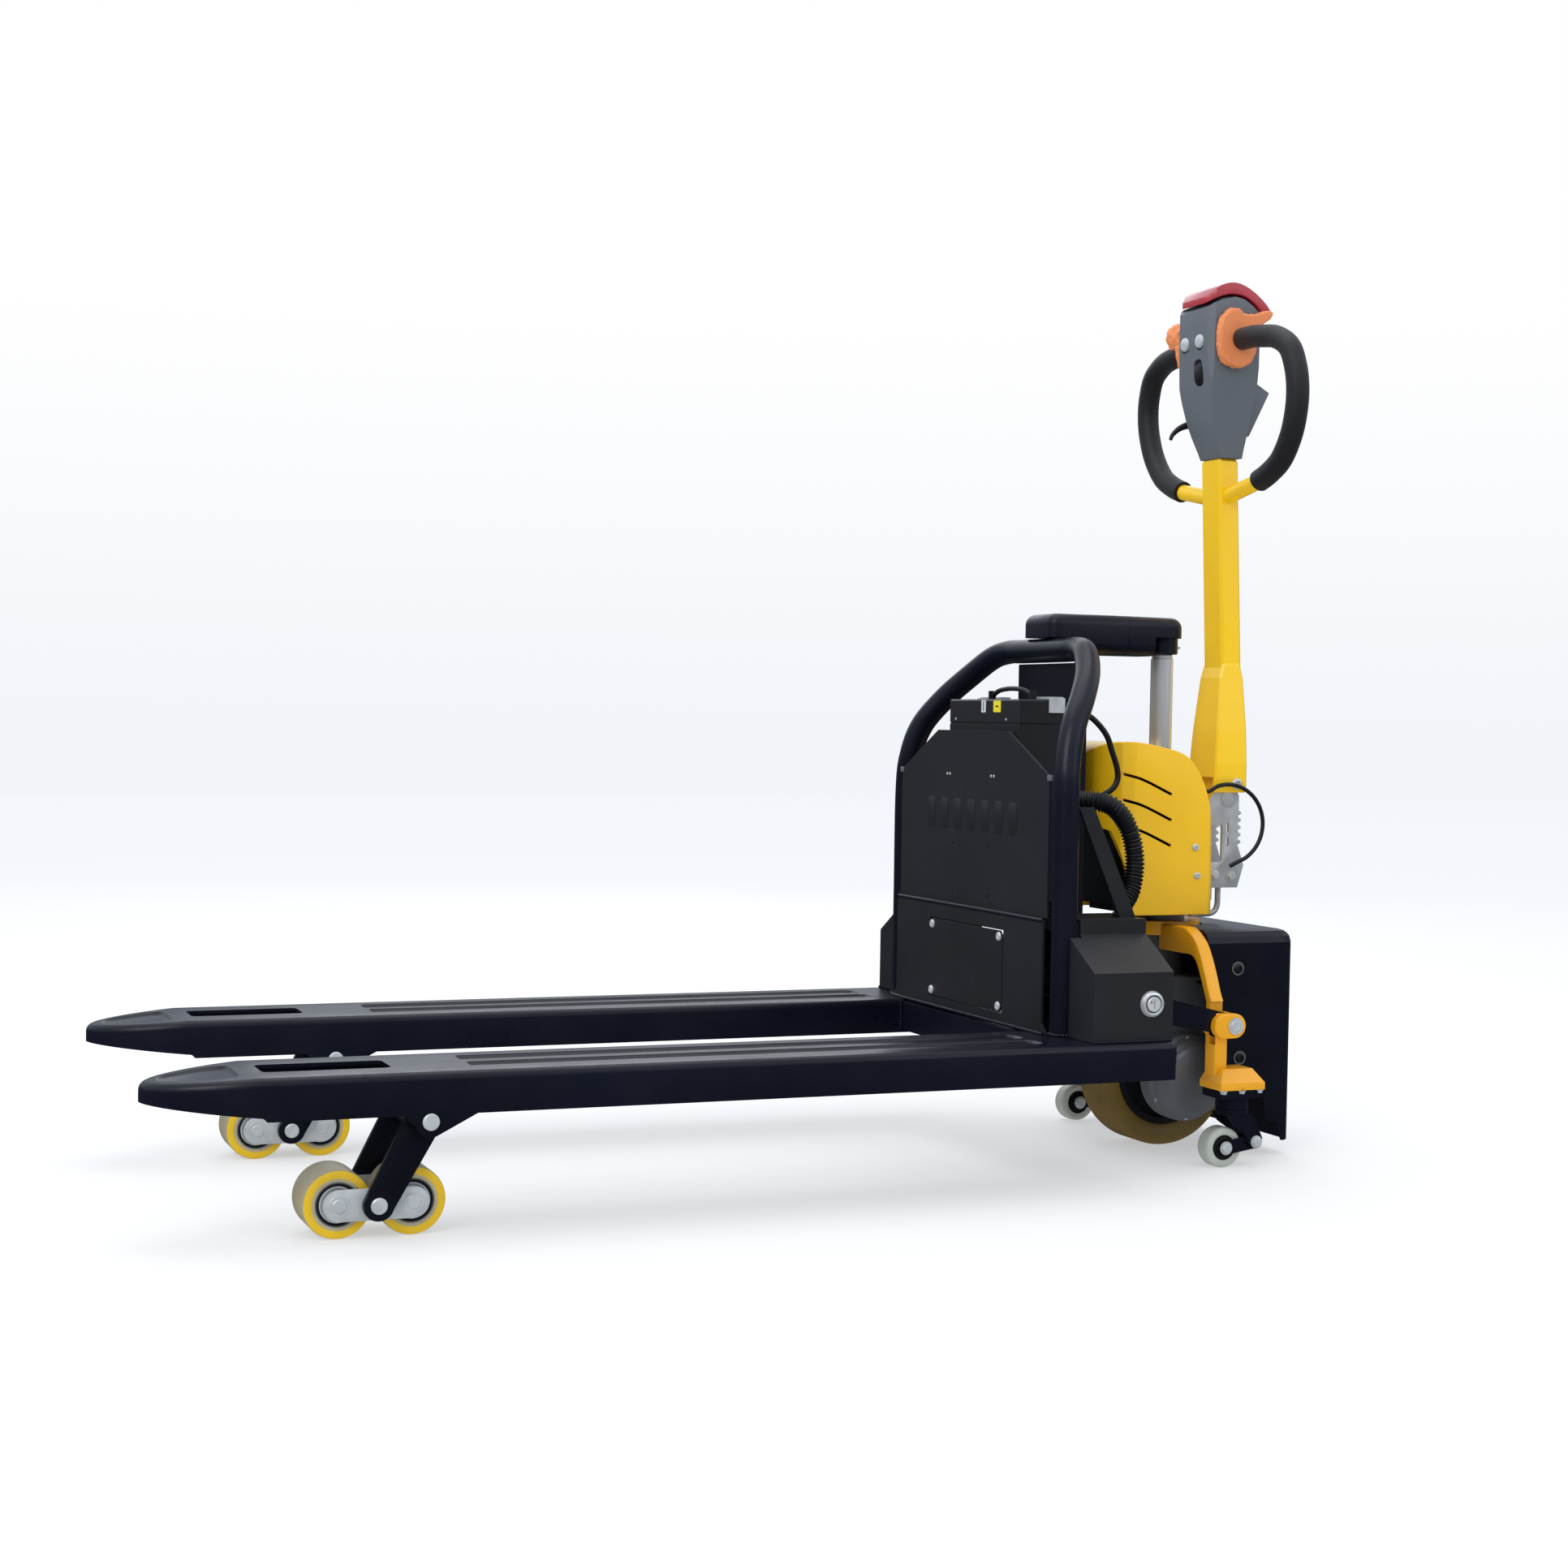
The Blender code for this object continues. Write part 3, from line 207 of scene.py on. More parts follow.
def surface(name, colour, rough=(0.3, 0.4), metal=0.0, coat=0.0, tone=0.12, tone_scale=5.0,
        grain=(0.0, 500.0), specks=0.0, speck_colour=(0.2, 0.2, 0.2), stretch=(1, 1, 1), specular=0.5,
        sheen=0.0):
    """A procedural finish: colour drifts by tone, roughness runs over rough, grain = (height, scale)."""
    made = bpy.data.materials.new(name)
    nodes, links = node_tree(made)
    shader = nodes["Principled BSDF"]
    fill(shader, {"Metallic": metal, "Coat Weight": coat, "Coat Roughness": 0.12,
        "Specular IOR Level": specular, "Sheen Weight": sheen, "Sheen Roughness": 0.4})
    coords = nodes.new("ShaderNodeTexCoord")
    mapping = fill(nodes.new("ShaderNodeMapping"), {"Scale": stretch})
    links.new(coords.outputs["Object"], mapping.inputs["Vector"])

    def noise_at(scale, detail):
        texture = fill(nodes.new("ShaderNodeTexNoise"), {"Scale": scale, "Detail": detail})
        links.new(mapping.outputs[0], texture.inputs["Vector"])
        return texture.outputs["Fac"]

    def spread(value, low, high, start=0.3, end=0.7):
        ranged = fill(nodes.new("ShaderNodeMapRange"), {"From Min": start, "From Max": end, "To Min": low,
            "To Max": high})
        links.new(value, ranged.inputs["Value"])
        return ranged.outputs[0]

    def mixed(factor, first, second):
        mix = nodes.new("ShaderNodeMix")
        mix.data_type = "RGBA"
        links.new(factor, mix.inputs["Factor"])
        for socket, value in (("A", first), ("B", second)):
            target = next(s for s in mix.inputs if s.name == socket and s.type == "RGBA")
            if isinstance(value, tuple):
                target.default_value = (*value, 1)
            else:
                links.new(value, target)
        return next(s for s in mix.outputs if s.type == "RGBA")

    dark = tuple(c * (1 - tone) for c in colour)
    light = tuple(min(1, c * (1 + tone)) for c in colour)
    shade = mixed(spread(noise_at(tone_scale, 3), 0, 1), dark, light)
    if specks:
        spots = spread(noise_at(SPECK_SCALE, 2), 0, specks, *SPECK_RANGE)
        shade = mixed(spots, shade, speck_colour)
    links.new(shade, shader.inputs["Base Color"])
    links.new(spread(noise_at(tone_scale * 3.5, 4), *rough), shader.inputs["Roughness"])
    if grain[0]:
        bump = fill(nodes.new("ShaderNodeBump"), {"Distance": grain[0], "Strength": 1.0})
        links.new(noise_at(grain[1], 2), bump.inputs["Height"])
        links.new(bump.outputs[0], shader.inputs["Normal"])
    return made


FINISH = {
    "black_paint": surface("black_powder_coat", (0.0034, 0.0046, 0.012), (0.27, 0.38), tone=0.22,
        grain=(0.00014, 420), specks=0.3, speck_colour=(0.02, 0.022, 0.03), specular=0.26),
    "charcoal_paint": surface("charcoal_powder_coat", (0.016, 0.0165, 0.0195), (0.36, 0.46), tone=0.15,
        grain=(0.00018, 520), specks=0.25, speck_colour=(0.035, 0.035, 0.038), specular=0.3),
    "yellow_paint": surface("yellow_gloss_paint", (0.98, 0.6, 0.006), (0.24, 0.36), coat=0.15, tone=0.05,
        grain=(0.00012, 260)),
    "orange_yellow_paint": surface("casting_paint", (0.9, 0.4, 0.005), (0.26, 0.4), coat=0.15, tone=0.08,
        grain=(0.00045, 240)),
    "yellow_plastic": surface("yellow_moulding", (0.95, 0.545, 0.007), (0.28, 0.38), tone=0.05,
        grain=(0.0001, 700)),
    "grey_plastic": surface("grey_moulding", (0.125, 0.143, 0.165), (0.46, 0.58), tone=0.08,
        grain=(0.00022, 1100)),
    "black_plastic": surface("black_moulding", (0.0085, 0.009, 0.011), (0.38, 0.52), tone=0.15,
        grain=(0.00016, 900), specular=0.35),
    "black_foam": surface("black_foam_skin", (0.011, 0.0115, 0.0145), (0.5, 0.66), tone=0.2,
        grain=(0.00035, 650), sheen=0.12, specular=0.4),
    "orange_plastic": surface("orange_moulding", (0.86, 0.27, 0.09), (0.48, 0.62), tone=0.1,
        grain=(0.0003, 500)),
    "red_plastic": surface("red_moulding", (0.42, 0.018, 0.035), (0.24, 0.36), coat=0.3, tone=0.08,
        grain=(0.00008, 600)),
    "zinc_steel": surface("zinc_plated_steel", (0.6, 0.63, 0.64), (0.28, 0.44), metal=0.3, tone=0.12,
        tone_scale=60, grain=(0.0001, 300)),
    "chrome_steel": surface("chromed_steel", (0.7, 0.72, 0.74), (0.16, 0.26), metal=0.55, tone=0.03,
        stretch=(1, 1, 0.04), grain=(0.00002, 900)),
    "cast_alloy": surface("cast_aluminium", (0.5, 0.52, 0.54), (0.36, 0.55), metal=0.35, tone=0.14,
        tone_scale=40, grain=(0.00035, 420)),
    "motor_paint": surface("motor_grey", (0.17, 0.178, 0.19), (0.34, 0.48), metal=0.35, tone=0.12,
        grain=(0.0003, 320)),
    "yellow_tread": surface("polyurethane_tread", (0.46, 0.4, 0.25), (0.36, 0.52), tone=0.1, tone_scale=22,
        grain=(0.00018, 240), specks=0.3, speck_colour=(0.3, 0.26, 0.15)),
    "tread_side": surface("polyurethane_side", (0.82, 0.52, 0.01), (0.28, 0.4), tone=0.08, tone_scale=22,
        grain=(0.0001, 240)),
    "brown_tread": surface("drive_tyre_rubber", (0.2, 0.125, 0.022), (0.36, 0.52), tone=0.15, tone_scale=16,
        grain=(0.0003, 220), specks=0.25, speck_colour=(0.12, 0.09, 0.05)),
    "white_nylon": surface("caster_nylon", (0.52, 0.54, 0.48), (0.36, 0.5), tone=0.08, tone_scale=30,
        grain=(0.00015, 300), specks=0.3, speck_colour=(0.25, 0.25, 0.22)),
    **{name: surface(name, colour, (0.3, 0.4), tone=tone, grain=(0.00003, 400)) for name, colour, tone in (
        ("white_label", (0.74, 0.76, 0.78), 0.04),
        ("blue_label", (0.05, 0.12, 0.3), 0.05),
        ("yellow_label", (0.9, 0.74, 0.02), 0.04),
    )},
}


# ---- Shapes: each returns an object in the heel frame ----


TINY = 1e-6
PLANES = {
    "X": Matrix(((0, 0, 1, 0), (1, 0, 0, 0), (0, 1, 0, 0), (0, 0, 0, 1))),
    "Y": Matrix(((1, 0, 0, 0), (0, 0, -1, 0), (0, 1, 0, 0), (0, 0, 0, 1))),
    "Z": Matrix.Identity(4),
}
TURN = {"X": Matrix.Rotation(math.pi / 2, 4, "Y"), "Y": Matrix.Rotation(-math.pi / 2, 4, "X"),
    "Z": Matrix.Identity(4)}


def from_bmesh(bm):
    bmesh.ops.recalc_face_normals(bm, faces=bm.faces)
    mesh = bpy.data.meshes.new("shape")
    bm.to_mesh(mesh)
    bm.free()
    return new_object(mesh)


def baked(obj):
    """The object with its modifiers applied, cleaned of doubled points."""
    bpy.context.view_layer.update()
    mesh = bpy.data.meshes.new_from_object(obj.evaluated_get(bpy.context.evaluated_depsgraph_get()))
    bpy.data.objects.remove(obj, do_unlink=True)
    bm = bmesh.new()
    bm.from_mesh(mesh)
    bmesh.ops.remove_doubles(bm, verts=bm.verts, dist=TINY)
    return from_bmesh(bm)


def box(xs, ys, zs):
    bm = bmesh.new()
    bmesh.ops.create_cube(bm, size=1)
    sides = (xs, ys, zs)
    bmesh.ops.scale(bm, vec=[hi - lo for lo, hi in sides], verts=bm.verts)
    bmesh.ops.translate(bm, vec=[(hi + lo) / 2 for lo, hi in sides], verts=bm.verts)
    return from_bmesh(bm)


def turned(profile, axis, centre, sides=56, closed=False):
    """Turns (radius, height) points about an axis through centre."""
    bm = bmesh.new()
    rings = []
    for radius, height in profile:
        if radius < TINY:
            rings.append([bm.verts.new((0, 0, height))] * sides)
            continue
        angles = [2 * math.pi * i / sides for i in range(sides)]
        rings.append([bm.verts.new((radius * math.cos(a), radius * math.sin(a), height)) for a in angles])
    pairs = list(zip(rings, rings[1:]))
    if closed:
        pairs.append((rings[-1], rings[0]))
    for first, second in pairs:
        for i in range(sides):
            j = (i + 1) % sides
            corners = []
            for vert in (first[i], first[j], second[j], second[i]):
                if vert not in corners:
                    corners.append(vert)
            if len(corners) > 2:
                bm.faces.new(corners)
    obj = from_bmesh(bm)
    obj.data.transform(Matrix.Translation(centre) @ TURN[axis])
    return obj


def rod(start, end, radius, sides=32, chamfer=0.0006):
    """A round bar with a small chamfer at each end."""
    start, end = Vector(start), Vector(end)
    length = (end - start).length
    profile = [(0, 0), (radius - chamfer, 0), (radius, chamfer), (radius, length - chamfer),
        (radius - chamfer, length), (0, length)]
    obj = turned(profile, "Z", (0, 0, 0), sides)
    facing = (end - start).to_track_quat("Z", "Y").to_matrix().to_4x4()
    obj.data.transform(Matrix.Translation(start) @ facing)
    return obj


def pin_at(place, low, high, radius, *more):
    """A round bar along Y at (x, z)."""
    return rod((place[0], low, place[1]), (place[0], high, place[1]), radius, *more)


def offset_outline(outline, distance):
    """A closed outline moved inwards by a distance."""
    area = sum(a[0] * b[1] - b[0] * a[1] for a, b in zip(outline, outline[1:] + outline[:1]))
    turn = 1 if area > 0 else -1
    moved = []
    for i, here in enumerate(outline):
        before, after = Vector(outline[i - 1]), Vector(outline[(i + 1) % len(outline)])
        first, second = (Vector(here) - before).normalized(), (after - Vector(here)).normalized()
        inward = Vector((-(first.y + second.y), first.x + second.x)) * turn
        inward.normalize()
        share = max(0.5, abs(inward.dot(Vector((-first.y, first.x)))))
        moved.append((here[0] + inward.x * distance / share, here[1] + inward.y * distance / share))
    return moved


def skinned(bm, rings):
    """A closed solid through rings of points."""
    bm.faces.new(rings[0])
    bm.faces.new(rings[-1])
    for first, second in zip(rings, rings[1:]):
        for i in range(len(first)):
            j = (i + 1) % len(first)
            bm.faces.new((first[i], first[j], second[j], second[i]))
    return from_bmesh(bm)


def stacked(outline, levels):
    """A solid through copies of an outline, each moved inwards and put at a height: (inset, height)."""
    bm = bmesh.new()
    outlines = [(offset_outline(outline, inset) if inset else outline, height) for inset, height in levels]
    return skinned(bm, [[bm.verts.new((u, v, height)) for u, v in ring] for ring, height in outlines])


def plate(outline, axis, lo, hi):
    """A flat outline with thickness: outline is (y, z), (x, z) or (x, y) for axis X, Y or Z."""
    low, high = (-hi, -lo) if axis == "Y" else (lo, hi)
    obj = stacked(list(outline), [(0, low), (0, high)])
    obj.data.transform(PLANES[axis])
    return obj


def side_plate(outline, near, far, side=1, centre=0):
    """A plate across Y between two distances from a centre, to one side of it."""
    return plate(outline, "Y", *span(near, far, side, centre))


def smooth_path(points, steps):
    """A Catmull-Rom curve through the points."""
    points = [Vector(p) for p in points]
    ends = [2 * points[0] - points[1], *points, 2 * points[-1] - points[-2]]
    path = []
    for a, b, c, d in zip(ends, ends[1:], ends[2:], ends[3:]):
        for i in range(steps):
            t = i / steps
            path.append(0.5 * (2 * b + (c - a) * t + (2 * a - 5 * b + 4 * c - d) * t ** 2
                               + (3 * b - a - 3 * c + d) * t ** 3))
    return [*path, points[-1]]


def sweep(points, radius, steps=8, sides=18):
    """A round tube along a smooth curve. radius is a number, or a function of the distance along it."""
    path = smooth_path(points, steps)
    bm = bmesh.new()
    rings, side, along = [], None, 0.0
    for i, place in enumerate(path):
        ahead = (path[min(i + 1, len(path) - 1)] - path[max(i - 1, 0)]).normalized()
        if side is None:
            side = ahead.orthogonal().normalized()
        side = (side - ahead * side.dot(ahead)).normalized()
        other = ahead.cross(side)
        along += (place - path[i - 1]).length if i else 0
        size = radius(along) if callable(radius) else radius
        rings.append([bm.verts.new(place + size * (side * math.cos(a) + other * math.sin(a)))
            for a in [2 * math.pi * k / sides for k in range(sides)]])
    return skinned(bm, rings)


def strap(start, start_radius, end, end_radius, steps=14):
    """The outline round two circles, for a link or an arm."""
    along = math.atan2(end[1] - start[1], end[0] - start[0])
    spread = math.acos((start_radius - end_radius) / math.dist(start, end))
    points = []
    for centre, radius, first, last in (
        (end, end_radius, along - spread, along + spread),
        (start, start_radius, along + spread, along + 2 * math.pi - spread),
    ):
        for i in range(steps + 1):
            angle = first + (last - first) * i / steps
            points.append((centre[0] + radius * math.cos(angle), centre[1] + radius * math.sin(angle)))
    return points


def curved(points, steps=6):
    """An open outline made smooth."""
    return [(p.x, p.y) for p in smooth_path([(u, v, 0) for u, v in points], steps)]


def arc(centre, radius, degrees):
    """Points of a circle at the given angles."""
    angles = [math.radians(d) for d in degrees]
    return [(centre[0] + radius * math.cos(a), centre[1] + radius * math.sin(a)) for a in angles]


def both_ways(half):
    """An outline or a profile from the half of it on one side."""
    return half + [(u, -v) for u, v in reversed(half)]


def wheel_ring(half, centre, sides):
    return turned(both_ways(half), "Y", centre, sides, closed=True)


def sided(outline, side):
    return [(u * side, v) for u, v in outline]


def span(a, b, side=1, centre=0):
    """Two distances to one side of a centre, as (low, high)."""
    return tuple(sorted((centre + a * side, centre + b * side)))


def across(y, half=0.1):
    """The low and high Y of a cutter that passes right through at y."""
    return y - half, y + half


def combined(base, others, operation):
    for other in others:
        modifier = base.modifiers.new("join", "BOOLEAN")
        modifier.operation = operation
        modifier.object = other
    result = baked(base)
    for other in others:
        bpy.data.objects.remove(other, do_unlink=True)
    return result


def joined(base, *others):
    return combined(base, others, "UNION")


def cut(base, *others):
    return combined(base, others, "DIFFERENCE")


def rounded(shape, width, segments=4, angle=30):
    """The shape with its edges sharper than angle rounded off."""
    bm = bmesh.new()
    bm.from_mesh(shape.data)
    bmesh.ops.dissolve_limit(bm, angle_limit=math.radians(0.5), verts=bm.verts, edges=bm.edges)
    bm.to_mesh(shape.data)
    bm.free()
    rounding = shape.modifiers.new("rounded edges", "BEVEL")
    rounding.width = width
    rounding.segments = segments
    rounding.limit_method = "ANGLE"
    rounding.angle_limit = math.radians(angle)
    rounding.use_clamp_overlap = True
    return baked(shape)


def merged(shapes):
    """Several shapes as one object, each keeping its own closed surface."""
    bm = bmesh.new()
    for shape in shapes:
        bm.from_mesh(shape.data)
        bpy.data.objects.remove(shape, do_unlink=True)
    mesh = bpy.data.meshes.new("shape")
    bm.to_mesh(mesh)
    bm.free()
    return new_object(mesh)


def body_of(node):
    return NODES[node]["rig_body"]


def show(shape, name, finish, node=None, body=None, slot=None, angle=35):
    """Puts a shape in the row frame as a visible piece of one body, in place of a CAD node if one is given."""
    shape.data.transform(HEEL)
    shape.name = name
    shape.data.materials.clear()
    shape.data.materials.append(FINISH[finish])
    shape.data.shade_smooth()
    shape.data.set_sharp_from_angle(angle=math.radians(angle))
    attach(shape, body or body_of(node))
    if node:
        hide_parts(node)
    return shape


def screw_head(place, axis, radius, height, facing):
    """A domed socket screw head that stands out along the axis."""
    profile = [(0, 0.55), (0.42, 0.55), (0.46, 0.98), (0.62, 1.0), (0.86, 0.78), (1.0, 0.36), (1.0, 0.0),
        (0, 0)]
    points = [(r * radius, h * height * facing) for r, h in profile]
    return turned(points, axis, place, 28)


def hex_bolt(place, axis, radius, height, facing):
    """A hexagon head on a washer."""
    brim, thickness = radius * 1.25, 0.25 * height * facing
    washer = turned([(0, 0), (brim, 0), (brim, thickness), (0, thickness)], axis, place, 32)
    head = turned([(0, 0), (radius, 0), (radius, 0.85 * height * facing), (radius * 0.86, height * facing),
        (0, height * facing)], axis, place, 6)
    return merged([washer, head])


def fasteners(head, size, axis, places, name, node, finish="zinc_steel"):
    """Equal screws or bolts as one piece. size is (radius, height), and places are (x, y, z, facing)."""
    heads = [head(place, axis, *size, facing) for *place, facing in places]
    show(merged(heads), name, finish, body=body_of(node))


def washer(place, axis, inner, outer, height, sides=32):
    return turned([(inner, 0), (outer, 0), (outer, height), (inner, height)], axis, place, sides,
        closed=True)


# ---- Forks and linkage ----


NOSE_START, SLOPE_START, NOSE_SLOPE, FORK_TIP = -1.02, -1.028, 0.075, -1.15
FORK_HALF, FORK_TOP, FORK_BOTTOM, FORK_END = 0.08, 0.195, 0.146, 0.151


def nose_half_width(x):
    along = (NOSE_START - x) / (NOSE_START - FORK_TIP)
    return FORK_HALF * (1 - along ** 1.75) ** 0.55


def fork_top(x):
    return FORK_TOP - max(0.0, NOSE_SLOPE * (SLOPE_START - x))


def pressing(outline, inset, depth):
    """A cutter for a shallow pressed panel with sloping sides, drawn on the fork's top."""
    cutter = stacked(outline, [(0, 0.006), (0, 0.0), (inset * 0.6, -depth * 0.8), (inset, -depth)])
    for vert in cutter.data.vertices:
        vert.co.z += fork_top(vert.co.x)
    return cutter


def round_rectangle(x0, x1, y0, y1, radius, steps=5):
    points = []
    for cx, cy, start in ((x1 - radius, y1 - radius, 0), (x0 + radius, y1 - radius, 90),
            (x0 + radius, y0 + radius, 180), (x1 - radius, y0 + radius, 270)):
        points += arc((cx, cy), radius, [start + 90 * i / steps for i in range(steps + 1)])
    return points


def fork(side, word):
    y = side * FORK_Y
    corner, fillet, samples = 0.01, 0.0095, 30
    half = [(FORK_END - corner + corner * math.sin(a), FORK_HALF - corner + corner * math.cos(a))
        for a in [math.radians(d) for d in (90, 60, 30, 0)]]
    for i in range(samples + 1):
        x = FORK_TIP + (NOSE_START - FORK_TIP) * ((samples - i) / samples) ** 2
        half.append((x, nose_half_width(x)))
    outline = half + [(u, -v) for u, v in reversed(half[:-1])]
    levels = [(0, 0.09)] + [(fillet * (1 - math.cos(a)), FORK_TOP - fillet + fillet * math.sin(a))
        for a in [math.radians(d) for d in range(0, 91, 15)]]
    base = stacked([(u, y + v) for u, v in outline], levels)
    bm = bmesh.new()
    bm.from_mesh(base.data)
    bmesh.ops.bisect_plane(bm, geom=[*bm.verts, *bm.edges, *bm.faces], plane_co=(SLOPE_START, 0, 0),
        plane_no=(1, 0, 0))
    for vert in bm.verts:
        if vert.co.z > 0.12 and vert.co.x < SLOPE_START:
            vert.co.z -= NOSE_SLOPE * (SLOPE_START - vert.co.x)
    bm.to_mesh(base.data)
    bm.free()
    lug = arc(ARM_PIVOT, 0.018, range(190, 301, 10))
    underside = [(0.2, FORK_BOTTOM), (-0.78, FORK_BOTTOM), *reversed(lug), (-0.858, 0.137),
        (-0.865, FORK_BOTTOM), (NOSE_START, FORK_BOTTOM), (NOSE_START, 0.15), (-1.06, 0.154), (-1.1, 0.158),
        (-1.15, 0.163), (-1.2, 0.165), (-1.2, 0.05), (0.2, 0.05)]
    wall = FORK_HALF - 0.005
    cutters = [
        plate(underside, "Y", *across(y)),
        box((NOSE_START + 0.002, 0.2), (y - wall, y + wall), (0.05, FORK_TOP - 0.0045)),
        box((NOSE_START - 0.014, -1.0), (y - 0.04, y + 0.04), (0.05, FORK_TOP - 0.005)),
        plate(round_rectangle(-1.0175, -0.869, y - 0.03, y + 0.03, 0.008), "Z", 0.18, 0.21),
        box((0.052, 0.126), (y - 0.01, y + 0.01), (0.18, 0.21)),
        pin_at(ARM_PIVOT, *across(y), 0.0104, 24),
    ]
    for offset in (-0.0265, 0.0265):
        cutters.append(pressing(round_rectangle(-0.778, -0.028, y + offset - 0.0205, y + offset + 0.0205,
            0.01), 0.0045, 0.0036))
    leaf = curved([(-1.132, 0.0), (-1.129, 0.0125), (-1.118, 0.026), (-1.1, 0.0375), (-1.08, 0.045),
        (-1.062, 0.048), (-1.05, 0.044), (-1.045, 0.034), (-1.044, 0.0)], 3)
    leaf += [(u, -v) for u, v in reversed(leaf[1:-1])]
    cutters.append(pressing([(u, y + v) for u, v in leaf], 0.005, 0.0034))
    show(cut(base, *cutters), "fork_shell_" + word, "black_paint", "fork_" + word, angle=28)


def load_arm(side, word):
    y = side * FORK_Y
    outline = strap(ARM_PIVOT, 0.0215, BOGIE_PIN, 0.018)
    cheeks = [rounded(side_plate(outline, 0.0465, 0.054, s, y), 0.0012, 2) for s in (-1, 1)]
    tube = pin_at(ARM_PIVOT, *across(y, 0.053), 0.0215, 40)
    lugs = strap(ARM_PIVOT, 0.016, (-0.853, 0.172), 0.009, 8)
    ears = [side_plate(lugs, 0.012, 0.02, s, y) for s in (-1, 1)]
    rod_pin = pin_at((-0.853, 0.172), *across(y, 0.019), 0.006, 20)
    bosses = [turned([(0.0106, 0.0), (0.018, 0.0), (0.0176, 0.0022 * s), (0.0106, 0.0022 * s)], "Y",
        (BOGIE_PIN[0], y + 0.0536 * s, BOGIE_PIN[1]), 40, closed=True) for s in (-1, 1)]
    show(merged([*cheeks, tube, *ears, rod_pin, *bosses]), "load_arm_body_" + word, "black_paint",
        "load_arm_" + word)
    pin = pin_at(ARM_PIVOT, *across(y, 0.083), 0.0098, 36, 0.0012)
    show(pin, "load_arm_pin_" + word, "zinc_steel", body=body_of("load_arm_" + word))


def bogie(side, word):
    y = side * FORK_Y
    x, z = BOGIE_PIN
    outline = strap((x - AXLE_OFFSET, z), 0.0185, (x + AXLE_OFFSET, z), 0.0184)
    links = [rounded(side_plate(outline, 0.0385, 0.044, s, y), 0.0009, 2) for s in (-1, 1)]
    heads = []
    profile = [(0, 0.0014), (0.0074, 0.0014), (0.0082, 0.0008), (0.0083, 0.0003), (0.012, 0.0003),
        (0.0124, 0.0), (0.0124, -0.002), (0, -0.002)]
    for offset in (-AXLE_OFFSET, AXLE_OFFSET):
        for s in (-1, 1):
            heads.append(turned([(r, h * s) for r, h in profile], "Y", (x + offset, y + 0.044 * s, z), 36))
        heads.append(pin_at((x + offset, z), *across(y, 0.042), 0.008, 24))
    show(merged([*links, *heads]), "bogie_links_" + word, "zinc_steel", "bogie_carrier_" + word)
    half = [(0.0, 0.058), (0.0082, 0.058), (0.0096, 0.0568), (0.0098, 0.0555), (0.0098, 0.0385),
        (0.0023, 0.0355)]
    show(turned(both_ways(half), "Y", (x, y, z), 36), "bogie_centre_pin_" + word, "zinc_steel",
        "bogie_pin_" + word)


def load_wheel(side, word, offset, place):
    node = f"load_wheel_{place}_{word}"
    centre = (BOGIE_PIN[0] + offset, side * FORK_Y, BOGIE_PIN[1])

    def ring(half, name, finish, **more):
        show(wheel_ring(half, centre, 64), f"load_{name}_{place}_{word}", finish, **more)

    ring([(0.0262, 0.0338), (0.0345, 0.0346), (0.0372, 0.0343), (0.0389, 0.0332), (0.0397, 0.0316),
        (0.04, 0.0296)], "tread", "yellow_tread", node=node, angle=60)
    body = body_of(node)
    ring([(0.029, 0.0338), (0.032, 0.0348), (0.0372, 0.0349), (0.0391, 0.0338), (0.0391, 0.032),
        (0.029, 0.032)], "tread_edge", "tread_side", body=body, slot="yellow_tread")
    ring([(0.021, 0.031), (0.0232, 0.0336), (0.0258, 0.0342), (0.0264, 0.033), (0.0264, 0.025),
        (0.021, 0.025)], "core", "motor_paint", body=body)
    ring([(0.0088, 0.033), (0.0128, 0.033), (0.0134, 0.0312), (0.019, 0.0312), (0.0194, 0.0334),
        (0.0212, 0.0334), (0.0212, 0.024), (0.0088, 0.024)], "bearing", "zinc_steel", body=body)
    ring([(0.0212, 0.0318), (0.0236, 0.034), (0.0246, 0.034), (0.0246, 0.03), (0.0212, 0.03)], "seal",
        "black_plastic", body=body)


def push_rod(side, word):
    y = side * FORK_Y
    start, end = Vector((0.0617, y, 0.1527)), Vector((-0.853, y, 0.172))
    along = (end - start).normalized()
    show(rod(start + along * 0.017, end - along * 0.016, 0.007, 24), "push_rod_bar_" + word, "black_paint",
        "push_rod_" + word)


# ---- Fork frame ----


def welds():
    """Ripple-shaped weld beads along the frame's foot and the guard tube's feet."""
    pitch = 0.0042

    def bead(points, size):
        def radius(s):
            ripple = 0.16 * math.sin(s * 2 * math.pi / pitch)
            return size * (1 + ripple + 0.25 * noise.noise((s * 60, size * 900, 0)))
        return sweep(points, radius, 60, 8)

    lines = [bead([(0.0075, -0.236, 0.1962), (0.0075, -0.08, 0.1962), (0.0075, 0.08, 0.1962),
        (0.0075, 0.236, 0.1962)], 0.0026)]
    for side in (-1, 1):
        ring = [(u, v, 0.1968) for u, v in arc((0.031, side * 0.246), 0.0172, range(20, 341, 32))]
        lines.append(bead(ring, 0.0024))
        lines.append(bead([(-0.0015, side * 0.1835, 0.1925), (-0.0015, side * 0.1835, 0.17),
            (-0.0015, side * 0.1835, 0.152)], 0.0018))
        lines.append(bead([(0.03, side * 0.3315, 0.1962), (0.085, side * 0.3325, 0.1962),
            (0.146, side * 0.3315, 0.1962)], 0.0016))
    show(merged(lines), "weld_beads", "black_paint", body=body_of("heel_frame"), angle=70)


